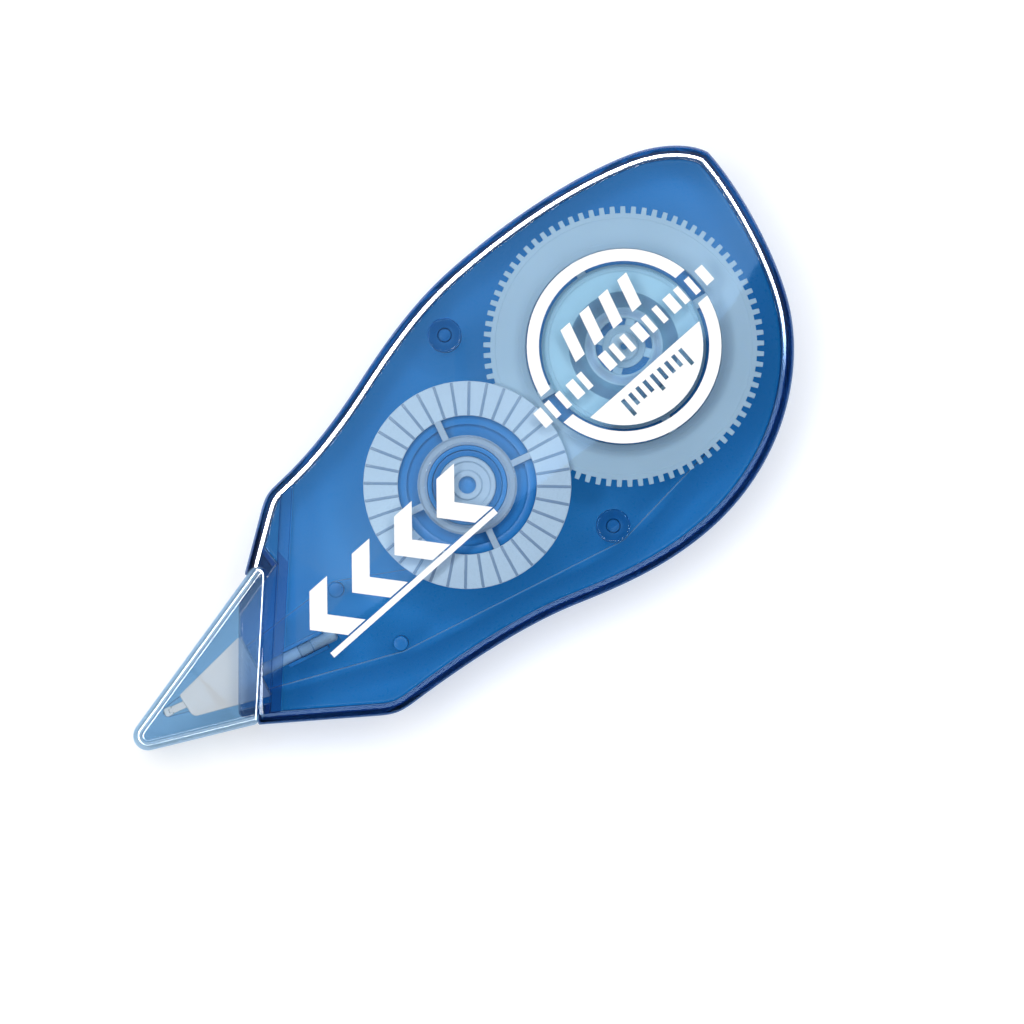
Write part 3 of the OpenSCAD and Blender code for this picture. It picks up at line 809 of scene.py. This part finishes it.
def front_shell():
    """Clear half: rounded edge, then a polished band that rises by tilt to the face."""
    edge_r, tilt, band, lip = 0.92, 11.0, 0.46, 0.018
    end = 90 - tilt
    start_z = FACE_Z - edge_r*sin(rad(end)) - band*math.tan(rad(tilt)) - lip
    angles = [rad(end*i/9) for i in range(10)]
    profile = groove(1) + [(edge_r*(1-cos(a)), start_z + edge_r*sin(a)) for a in angles]
    d, z = profile[-1]
    profile += [(d+band*k, z+band*k*math.tan(rad(tilt))) for k in (0.5, 1.0)]
    d, z = profile[-1]
    profile += [(d+0.09, z+0.012), (d+0.19, FACE_Z)]
    shell = loft(outline, profile)
    cut(shell, prism(cap_pocket, SPLIT-1, FACE_Z+1))
    add(shell, prism(neck, SPLIT+0.02, NECK_TOP, 0, 0.5, 5))
    cut(shell, prism(room, SPLIT-1, ROOF_Z, 0, 0.4),
        prism(neck_room, SPLIT-1, NECK_TOP-1, 0, 0.3, 3),
        prism(inset(room, -0.6), SPLIT-1, SPLIT+1.05))
    add(shell, rim_bar(9.4, IN_ROOF),
        tube(TAKE_UP, 4.0, 3.35, 8, IN_ROOF, 0.1),
        tube(TAKE_UP, 5.7, 4.9, 11.3, IN_ROOF, 0.08))
    add(shell, *[rod(p, POST_R, 9.05, IN_ROOF, 0.2) for p in POSTS])
    add(shell, stem_box(4.6, 6.2, 0.8, MID_Z+0.78, IN_ROOF),
        stem_box(stem_len-0.5, stem_len+0.5, 0.5, MID_Z+0.9, IN_ROOF, 1.6))
    finish(shell, "front_shell_clear", "case", clear_blue, ["front_shell"])


def rear_shell():
    """Blue half with the axles, posts, tape guides and the saddle of the stem."""
    edge_r = 1.1
    angles = [pi/2*i/8 for i in range(9)]
    profile = [(edge_r*(1-sin(a)), edge_r*(1-cos(a))) for a in angles] + groove(-1)[::-1]
    shell = loft(outline, profile)
    cut(shell, prism(cap_pocket, -1, SPLIT+1))
    add(shell, prism(inset(room, -0.55), SPLIT-0.6, SPLIT+1, 0, 0.1, 2),
        prism(neck, NECK_IN, SPLIT-0.02, 0.5, 0, 5))
    cut(shell, prism(room, PLATE, SPLIT+2, 0.4, 0),
        prism(neck_room, NECK_IN+1, SPLIT+3, 0.3, 0, 3))
    add(shell, rim_bar(IN_FLOOR, 2.2),
        tube(SUPPLY, 3.2, 1.2, IN_FLOOR, 2.5),
        tube(SUPPLY, 1.4, 0.7, IN_FLOOR, 11.2, 0.1, 64),
        tube(TAKE_UP, 5.6, 4.3, IN_FLOOR, 2.5),
        tube(TAKE_UP, 4.6, 4.05, IN_FLOOR, 11.2))
    add(shell, *[tube(p, POST_R, 0.8, IN_FLOOR, 9, 0.15, 64) for p in POSTS])
    add(shell, *[rod(p, GUIDE_R, IN_FLOOR, 8.5, 0.2, 48) for p in (GUIDE_LOW, GUIDE_UP)])
    slot_r = STEM_R + 0.05
    saddle = stem_box(2.7, stem_len-0.8, 1.2, IN_FLOOR, MID_Z+0.6)
    cut(saddle, stem_rod(slot_r, 1.0, stem_len+0.5, 0.01),
        box(STEM_A, stem_turn, 2, stem_len, -slot_r, slot_r, MID_Z, MID_Z+2, 0.02))
    add(shell, saddle,
        stem_box(stem_len-0.5, stem_len+0.5, 0.5, IN_FLOOR, MID_Z-0.9, 1.6),
        stem_box(stem_len+0.8, stem_len+1.8, 1.2, IN_FLOOR, MID_Z+0.6))
    finish(shell, "rear_shell_moulded", "case", case_blue, ["rear_shell"])


# ------------------------------------------------------------------ cap
TAPER_X = -61.6         # the cap gets thinner from here towards the tip
TAPER_TOP = 0.343       # slopes of its two faces
TAPER_BOTTOM = 0.2018
# (inset, z) of the cap's straight body, with bevelled bottom and top edges
CAP_PROFILE = [
    (0.3, 0.04), (0.2, 0.1), (0.08, 0.18), (0, 0.34), (0, 13.22), (0.03, 13.34),
    (0.09, 13.42), (0.14, 13.447), (0.25, 13.472), (0.36, 13.5), (0.42, 13.56)]


def soft_step(t, width=0.002):
    """0 below zero, t above, with a soft bend between."""
    return width*math.log1p(math.exp(max(-40, min(40, t/width))))


def fine_cap_outline(side_in, rim_in):
    points = cap_outline(side_in, rim_in, 12)
    out = []
    for i, p in enumerate(points):
        out += straight(p, points[(i+1) % len(points)], 0.7)
    return out


def cap_part(side_in, rim_in, top, bottom, edge):
    """Tapered cap body: a tall prism, sliced along x, whose ends are then brought into place."""
    tall = 1000
    obj = prism(fine_cap_outline(side_in, rim_in), -tall, tall, edge, edge, 9)
    bm = bmesh.new()
    bm.from_mesh(obj.data)
    x = -73.1
    while x < -56:
        bmesh.ops.bisect_plane(bm, geom=bm.verts[:] + bm.edges[:] + bm.faces[:],
                               plane_co=(x*MM, 0, 0), plane_no=(1, 0, 0), dist=1e-7)
        x += 0.5
    for v in bm.verts:
        t = soft_step(TAPER_X - v.co.x/MM)
        if v.co.z > 0:
            v.co.z = (top - TAPER_TOP*t)*MM + (v.co.z - tall*MM)
        else:
            v.co.z = (bottom + TAPER_BOTTOM*t)*MM + (v.co.z + tall*MM)
    bm.to_mesh(obj.data)
    bm.free()
    return obj


def cap():
    wall, top, bottom = 0.8, 13.5, 0.1
    obj = cap_part(0.0, -3.0, top, bottom, 0.75)
    keep(obj, loft(fine_cap_outline(0, 0), CAP_PROFILE))
    cut(obj, cap_part(wall, -6.0, top-wall, bottom+wall, 0.4))
    finish(obj, "cap_clear", "cap", clear_cap, ["cap"], sharp=15)


# ------------------------------------------------------------------ tip
CHEEK = [(-55.4, 4.36), (-65.1, 3.85), (-65.55, 0.93), (-57.2, -3.25)]
BLADE = [(-55.75, 2.75), (-64.6, 3.35), (-65.2, 3.25), (-65.3, 2.35), (-64.2, 1.75),
         (-57.05, -1.6)]
TIP_Z0, TIP_Z1 = MID_Z-3.05, MID_Z+3.05
CHEEK_T = 0.45


def edge_box(x0, x1, half_width, half_height, edge, steps=2):
    """Box in the turned frame of the pressing edge."""
    return box(TIP_EDGE, EDGE_TURN, x0, x1, -half_width, half_width,
               MID_Z-half_height, MID_Z+half_height, edge, steps)


def tip_head():
    """Two cheeks with a blade between them, a tongue for the soft edge, and the stem."""
    cheek = rounded_polygon([Vector(p) for p in CHEEK], [(0.25, 4), (0.25, 4), (0.8, 8), (0.25, 4)])
    head = prism(cheek, TIP_Z0, TIP_Z0+CHEEK_T, 0.12, 0.12, 3)
    upper_cheek = prism(cheek, TIP_Z1-CHEEK_T, TIP_Z1, 0.12, 0.12, 3)
    add(head, prism([Vector(p) for p in BLADE], TIP_Z0+0.4, TIP_Z1-0.4), upper_cheek)
    add(head, edge_box(EDGE_HALF+0.02, 2.8, 0.42, TAPE_W/2, 0.08),
        edge_box(0.1, 1.6, 0.225, TAPE_W/2, 0.05))
    add(head, stem_rod(STEM_R, -2.4, stem_len+0.6, 0.3))
    # peg to one side at the stem's end
    add(head, stem_rod(STEM_R, -0.6, 2.1, 0.3, STEM_B, Matrix.Rotation(-pi/2, 4, "X")))
    finish(head, "tip_head_moulded", "tip", tip_grey, ["tip_head"])


def tip_edge():
    obj = edge_box(-EDGE_HALF, EDGE_HALF, EDGE_HALF, TAPE_W/2, 0.16, 4)
    cut(obj, edge_box(0.05, 2, 0.25, 4, 0.02))
    finish(obj, "tip_edge_soft", "tip", tip_soft, ["tip_edge"])


# ------------------------------------------------------------------ tape
def tangent(a, b):
    """Touching points of the left-hand tangent of two circles (centre, signed radius)."""
    (centre_a, ra), (centre_b, rb) = a, b
    v = centre_b - centre_a
    t = math.atan2(v.y, v.x) + math.acos((ra - rb)/v.length)
    n = Vector((cos(t), sin(t)))
    return centre_a + n*ra, centre_b + n*rb


def wrap(circle, arrive, leave, steps):
    """Clockwise arc round a circle between two touching points."""
    c, r = circle
    start = math.atan2(arrive.y-c.y, arrive.x-c.x)
    turn = start - math.atan2(leave.y-c.y, leave.x-c.x)
    if turn < 0:
        turn += 2*pi
    angles = [start-turn*i/steps for i in range(steps+1)]
    return [c + Vector((cos(a), sin(a)))*r for a in angles]


def strip(path, name, material, nodes, slot):
    """Upright strip of tape along a path, bending between case and tip."""
    rows = 6
    dense = []
    for a, b in zip(path, path[1:]):
        dense += straight(a, b, 0.9)
    dense.append(path[-1])
    n = len(dense)
    sides = [[], []]
    for i, p in enumerate(dense):
        way = (dense[min(i+1, n-1)] - dense[max(i-1, 0)]).normalized()
        sides[0].append(p + left(way)*TAPE_T/2)
        sides[1].append(p - left(way)*TAPE_T/2)
    bm = bmesh.new()
    heights = [TAPE_Z0 + TAPE_W*k/rows for k in range(rows+1)]
    a, b = [[[vert(bm, p[0], p[1], z) for z in heights] for p in side] for side in sides]
    for grid, turned in ((a, True), (b, False)):
        for i in range(n-1):
            for k in range(rows):
                face = (grid[i][k], grid[i+1][k], grid[i+1][k+1], grid[i][k+1])
                bm.faces.new(face[::-1] if turned else face)
    for i in range(n-1):
        for k in (0, rows):
            face = (a[i][k], a[i+1][k], b[i+1][k], b[i][k])
            bm.faces.new(face if k == 0 else face[::-1])
    for i in (0, n-1):
        for k in range(rows):
            face = (a[i][k], a[i][k+1], b[i][k+1], b[i][k])
            bm.faces.new(face if i == 0 else face[::-1])
    obj = finish(new_object(name, bm), name, None, material, nodes, weighted=False)
    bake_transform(obj)


def tapes():
    """Tape from the supply roll round post, guide and tip edge, and back to the take-up roll."""
    clearance = TAPE_T/2 + 0.04
    roll = (SUPPLY, SUPPLY_ROLL_R+clearance)
    post = (POSTS[1], POST_R+clearance)
    low = (GUIDE_LOW, GUIDE_R+clearance)
    edge = (TIP_EDGE, EDGE_HALF+clearance+0.05)
    up = (GUIDE_UP, GUIDE_R+clearance)
    used = (TAKE_UP, -(USED_ROLL_R+clearance))
    stops = [roll, post, low, edge, up, used]
    runs = [tangent(a, b) for a, b in zip(stops, stops[1:])]
    post_arc, low_arc, edge_arc, up_arc = [
        wrap(stop, before[1], after[0], steps)
        for stop, before, after, steps in zip(stops[1:], runs, runs[1:], (6, 6, 12, 6))]
    strip([runs[0][0]] + post_arc + low_arc + edge_arc[:7],
          "tape_out", tape_film, ["tape_web_out", "tip_loop"], "tape_film")
    strip(edge_arc[6:] + up_arc + [runs[-1][1]],
          "tape_return", ribbon_film, ["tape_web_return"], "ribbon_film")


# ------------------------------------------------------------------ reels
def gear_outline(centre, teeth, root_r, tip_r, root_half, tip_half):
    """Gear with softly rounded tooth tips; half widths in half pitches."""
    tooth = [(root_r, -root_half), (tip_r-0.05, -tip_half), (tip_r-0.012, -tip_half+0.025),
             (tip_r, -tip_half+0.08), (tip_r, tip_half-0.08), (tip_r-0.012, tip_half-0.025),
             (tip_r-0.05, tip_half), (root_r, root_half)]
    out = []
    for i in range(teeth):
        for r, f in tooth:
            a = rad(i*360/teeth)+pi/teeth*f
            out.append(Vector((centre[0]+r*cos(a), centre[1]+r*sin(a))))
    return out


def supply_gear():
    gear = prism(gear_outline(SUPPLY, 81, 15.4, 16.2, 0.52, 0.44), 8.6, 9.8, 0.05, 0.05, 2)
    cut(gear, lathe(SUPPLY, [
        (0, 8.0), (11.42, 8.0), (11.42, 8.55), (11.3, 8.7), (11.3, 9.66), (11.34, 9.74),
        (11.42, 9.8), (11.5, 10.2), (0, 10.2)], 128))
    # shallow step turned into the upper face
    cut(gear, lathe(SUPPLY, [
        (12.1, 9.72), (14.75, 9.72), (14.83, 9.74), (14.88, 9.9), (12.0, 9.9), (12.03, 9.74)], 160))
    add(gear, tube(SUPPLY, 9.5, 4.45, 8.6, 9.8, 0.1, 128))
    add(gear, *four_spokes(SUPPLY, 9.2, 11.7, 1.1, 8.7, 9.7, GEAR_TURN))
    finish(gear, "supply_gear_wheel", "supply_gear", ice, ["supply_gear"])


def supply_drum():
    drum = lathe(SUPPLY, [
        (11.0, 2.6), (12.8, 2.6), (12.9, 2.7), (12.9, 3.1), (12.8, 3.2), (11.95, 3.2),
        (11.8, 3.35), (11.8, 8.1), (11.7, 8.2), (4.4, 8.2), (4.4, 10.3), (4.3, 10.4),
        (3.5, 10.4), (3.4, 10.3), (3.4, 2.6), (4.4, 2.6), (4.4, 7.5), (10.8, 7.5),
        (11.0, 7.3)], 128)
    add(drum, tube(SUPPLY, 2.6, 1.45, 2.6, 8, 0.1, 72))
    add(drum, *four_spokes(SUPPLY, 2.2, 11.2, 1.4, 2.6, 3.4, CORE_TURN))
    finish(drum, "supply_drum_moulded", "supply_core", blue, ["supply_drum"])


def rolls():
    supply = tube(SUPPLY, SUPPLY_ROLL_R, 11.85, TAPE_Z0, TAPE_Z1, 0.05, 160, 2)
    finish(supply, "tape_roll_wound", "supply_core", tape_roll, ["tape_roll"])
    used = tube(TAKE_UP, USED_ROLL_R, 7.85, TAPE_Z0, TAPE_Z1, 0.05, 160, 2)
    finish(used, "used_ribbon_wound", "take_up", used_roll, ["take_up_roll"])


def clutch():
    """Felt ring, and a slightly waved split ring spring of flat wire."""
    finish(tube(SUPPLY, 8.4, 5.4, 8.22, 8.58, 0.08, 128), "friction_ring_felt", "supply_core",
           felt, ["friction_ring"])
    # wire section: radius, height about the wave
    section = [(5.25, -0.14), (6.15, -0.14), (6.2, -0.09), (6.2, 0.09),
               (6.15, 0.14), (5.25, 0.14), (5.2, 0.09), (5.2, -0.09)]
    sweep, steps, wave, mid_z = 352, 150, 0.13, 10.10
    bm = bmesh.new()
    rings = []
    for i in range(steps+1):
        a = rad(CORE_TURN + sweep*i/steps)
        z = mid_z + wave*sin(3*(a-rad(CORE_TURN)))
        rings.append([vert(bm, r*cos(a), r*sin(a), z+h) for r, h in section])
    for a, b in zip(rings, rings[1:]):
        for k in range(8):
            bm.faces.new((a[k], b[k], b[(k+1) % 8], a[(k+1) % 8]))
    bm.faces.new(rings[0])
    bm.faces.new(rings[-1][::-1])
    finish(new_object("part", bm), "clutch_spring_wave", "supply_core", spring_blue,
           ["clutch_spring"])


def hub_cap():
    hub = lathe(SUPPLY, [
        (3.25, 10.4), (9.1, 10.4), (9.2, 10.5), (9.2, 11.1), (9.1, 11.2), (8.75, 11.2),
        (8.65, 11.1), (8.5, 11.06), (3.95, 11.06), (3.8, 11.12), (3.65, 11.2), (3.35, 11.2),
        (3.25, 11.1)], 128)
    add(hub, tube(SUPPLY, 2.5, 1.45, 9.2, 11.2, 0.15, 72))
    add(hub, *four_spokes(SUPPLY, 2.3, 3.5, 1.1, 10.5, 11.08, CORE_TURN))
    finish(hub, "hub_cap_milky", "supply_core", milky, ["hub_cap"])


def take_up_drum():
    drum = prism(gear_outline(TAKE_UP, 42, 7.78, 8.52, 0.42, 0.2), 8.5, 9.9, 0.04, 0.04, 2)
    cut(drum, rod(TAKE_UP, 7.0, 8.0, 11, 0.01, 128))
    add(drum, lathe(TAKE_UP, [
        (7.0, 2.7), (7.1, 2.6), (10.6, 2.6), (10.7, 2.7), (10.7, 3.1), (10.6, 3.2),
        (7.95, 3.2), (7.8, 3.35), (7.8, 8.7), (7.6, 8.8), (7.0, 8.8)], 128))
    add(drum, tube(TAKE_UP, 7.2, 5.2, 8.6, 9.3, 0.1), tube(TAKE_UP, 5.4, 4.65, 2.6, 9.9, 0.1))
    finish(drum, "take_up_drum_pinion", "take_up", blue, ["take_up_drum"])


def take_up_flange():
    flange = tube(TAKE_UP, 12, 8.0, 10.1, 11.05, 0.1, 144)
    add(flange, lathe(TAKE_UP, [
        (4.65, 9.9), (5.65, 9.9), (5.75, 10.0), (5.75, 10.95), (5.5, 11.2), (4.95, 11.2),
        (4.65, 10.95)]))
    add(flange, *four_spokes(TAKE_UP, 5.6, 8.2, 0.8, 10.2, 11.0, FLANGE_TURN))
    add(flange, merge(*[spoke(TAKE_UP, 8.06, 11.93, 0.34, 10.9, 11.15, 7.5+10*i, 0.05)
                        for i in range(36)]))
    finish(flange, "take_up_flange_ribbed", "take_up", ribbed, ["take_up_flange"])


def plugs():
    plug = lathe(SUPPLY, [
        (0.4, 8.0), (0.6, 8.0), (0.68, 8.1), (0.68, 11.3), (1.55, 11.3), (1.65, 11.4),
        (1.65, 11.66), (1.5, 11.8), (0.6, 11.8), (0.4, 11.6)], 72)
    finish(plug, "supply_plug", "case", ice, ["supply_axle_plug"])
    plug = lathe(TAKE_UP, [
        (1.0, 9.0), (3.2, 9.0), (3.3, 9.1), (3.3, 11.5), (3.2, 11.6), (2.8, 11.6),
        (2.7, 11.5), (2.7, 11.3), (2.6, 11.2), (1.8, 11.2), (1.7, 11.3), (1.7, 11.5),
        (1.6, 11.6), (1.1, 11.6), (1.0, 11.5)])
    finish(plug, "take_up_plug", "case", grey, ["take_up_axle_plug"])


def covers():
    """Small blue rings and pins that replace no piece of the frame."""
    def cover(obj, name, body):
        finish(obj, name, body, blue, ())

    cover(tube(TAKE_UP, 8.3, 7.02, 9.91, 10.04, 0.03, 128, 2), "pinion_shroud", "take_up")
    cover(tube(SUPPLY, 3.38, 2.3, 9.0, 9.15, 0.03, 96, 2), "supply_drum_web", "supply_core")
    cover(merge(*[rod(p, 0.75, 4, 9.03, 0.1, 40) for p in POSTS]), "post_pegs", "case")
    cover(tube(TAKE_UP, 3.98, 3.37, 10.9, 11.1, 0.03, 96, 2), "take_up_boss_ring", "case")
    cover(rod(TAKE_UP, 1.04, 10.2, 10.6, 0.05), "take_up_plug_pin", "case")


for build in (front_shell, rear_shell, cap, tip_head, tip_edge, tapes, supply_gear, supply_drum,
              rolls, clutch, hub_cap, take_up_drum, take_up_flange, plugs, covers):
    build()
face_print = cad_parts["face_print"]
face_print.data.materials.clear()
face_print.data.materials.append(ink)

# ------------------------------------------------------------------ floor, light, camera (metres)
VIEW_CENTRE = Vector((-0.0223, -0.00575, FACE_Z*MM))
CAMERA_H = 1.2              # above the view centre
CAMERA_TURN = rad(-41.5)
VIEW_W = 0.11776            # width of the picture at the view centre
SENSOR_W = 36               # mm


def make_floor():
    """Pale floor, one-sided: from underneath it is not there, so light from below gets in."""
    half = 1.5
    bm = bmesh.new()
    verts = [bm.verts.new((x*half, y*half, -0.00005)) for x in (-1, 1) for y in (-1, 1)]
    bm.faces.new([verts[i] for i in (0, 2, 3, 1)])
    floor = new_object("floor", bm)
    m = new_material("pale_floor")
    surface = m.make(
        "ShaderNodeBsdfPrincipled",
        Base_Color=m.mix(m.noise(14, 2.0), (0.745, 0.75, 0.755), (0.76, 0.76, 0.76)),
        Emission_Color=(1, 1, 1), Emission_Strength=0.38, Roughness=0.9, Specular_IOR_Level=0.05)
    gone = m.math("MAXIMUM", m.geometry()["Backfacing"], m.rays()["Is Shadow Ray"])
    clear = m.make("ShaderNodeBsdfTransparent")
    floor.data.materials.append(m.done(m.mix_shader(gone, surface, clear)))


def circle_verts(bm, radius, z, sides):
    """Circle round the camera's axis."""
    angles = [2*pi*i/sides for i in range(sides)]
    return [bm.verts.new((VIEW_CENTRE.x+radius*cos(a), VIEW_CENTRE.y+radius*sin(a), z))
            for a in angles]


def stage_light(obj, m, colour, strength):
    """Gives a mesh its glow and hides it from the camera."""
    glow = m.make("ShaderNodeEmission", Color=colour, Strength=strength)
    obj.data.materials.append(m.done(glow))
    obj.visible_camera = False


def ring_light(height=1.0, inner_angle=19.5, outer_angle=25.5, strength=15.0, sides=96):
    """Soft ring round the camera's axis, between two angles seen from the view centre;
    weaker towards -y."""
    bm = bmesh.new()
    inner, outer = [circle_verts(bm, math.tan(rad(angle))*height, VIEW_CENTRE.z+height, sides)
                    for angle in (inner_angle, outer_angle)]
    for i in range(sides):
        j = (i+1) % sides
        bm.faces.new((inner[i], outer[i], outer[j], inner[j]))
    ring = new_object("ring_light", bm)
    m = new_material("ring_glow")
    x, y, _ = m.split(m.geometry()["Position"])
    along = m.math("ADD", m.times(m.math("SUBTRACT", x, VIEW_CENTRE.x), 0.25/height),
                   m.times(m.math("SUBTRACT", y, VIEW_CENTRE.y), 0.97/height))
    glow = m.smooth(along, -0.25, 0.1, 0.35*strength, 1.15*strength)
    stage_light(ring, m, colour=(1, 0.99, 0.975), strength=glow)


def under_light(inner=0.3, outer=0.62, z=-0.9, sides=64):
    """Soft ring below the floor that reaches the back."""
    bm = bmesh.new()
    bridge(bm, circle_verts(bm, inner, z, sides), circle_verts(bm, outer, z, sides))
    stage_light(new_object("under_light", bm), new_material("under_glow"),
                colour=(1, 0.99, 0.98), strength=1.6)


# where the card's curved edge is mirrored on the front face: x, y in mm
CARD_EDGE = [(-66, 0.5), (-57, -1.2), (-45, -2.9), (-35, -4.0), (-25, -4.9), (-10, -6.0),
             (5, -6.0), (13, -4.6), (21, -2.0), (30, 2.0)]
CARD_REST = [(30, 30), (-90, 30), (-90, 3)]


def reflection_card(height=0.6):
    """Large soft card whose curved edge lies across the front face as a pale reflection."""
    bm = bmesh.new()
    centre = Vector((VIEW_CENTRE.x, VIEW_CENTRE.y))
    verts = []
    for x, y in CARD_EDGE + CARD_REST:
        p = Vector((x*MM, y*MM))
        q = centre + (p-centre)*((CAMERA_H+height)/CAMERA_H)
        verts.append(bm.verts.new((q.x, q.y, VIEW_CENTRE.z+height)))
    bm.faces.new(verts)
    card = new_object("card", bm)
    card.visible_diffuse = False
    card.visible_shadow = False
    card.visible_transmission = False
    m = new_material("card_glow")
    y = m.split(m.geometry()["Position"])[1]
    stage_light(card, m, colour=(0.48, 0.75, 1.0),
                strength=m.smooth(y, -0.006, 0.022, 2.2, 0.7))


def make_world():
    """Dim in general, dimmer in reflections, full strength to the camera."""
    world = bpy.data.worlds.new("studio")
    scene.world = world
    w = Nodes(world)
    rays = w.rays()
    dim = w.ramp(rays["Is Glossy Ray"], 0, 1, start=0.24, end=0.06)
    w.set(w.tree.nodes["Background"], Color=(0.93, 0.96, 1.0),
          Strength=w.math("MAXIMUM", dim, rays["Is Camera Ray"]))


def make_camera():
    data = bpy.data.cameras.new("camera")
    data.sensor_width = SENSOR_W
    data.lens = SENSOR_W*CAMERA_H/VIEW_W
    data.clip_start = 0.05
    data.clip_end = 10
    camera = bpy.data.objects.new("camera", data)
    scene.collection.objects.link(camera)
    camera.location = VIEW_CENTRE + Vector((0, 0, CAMERA_H))
    camera.rotation_euler = (0, 0, CAMERA_TURN)
    scene.camera = camera


make_floor()
ring_light()
under_light()
reflection_card()
make_world()
make_camera()
scene.view_settings.view_transform = "Standard"
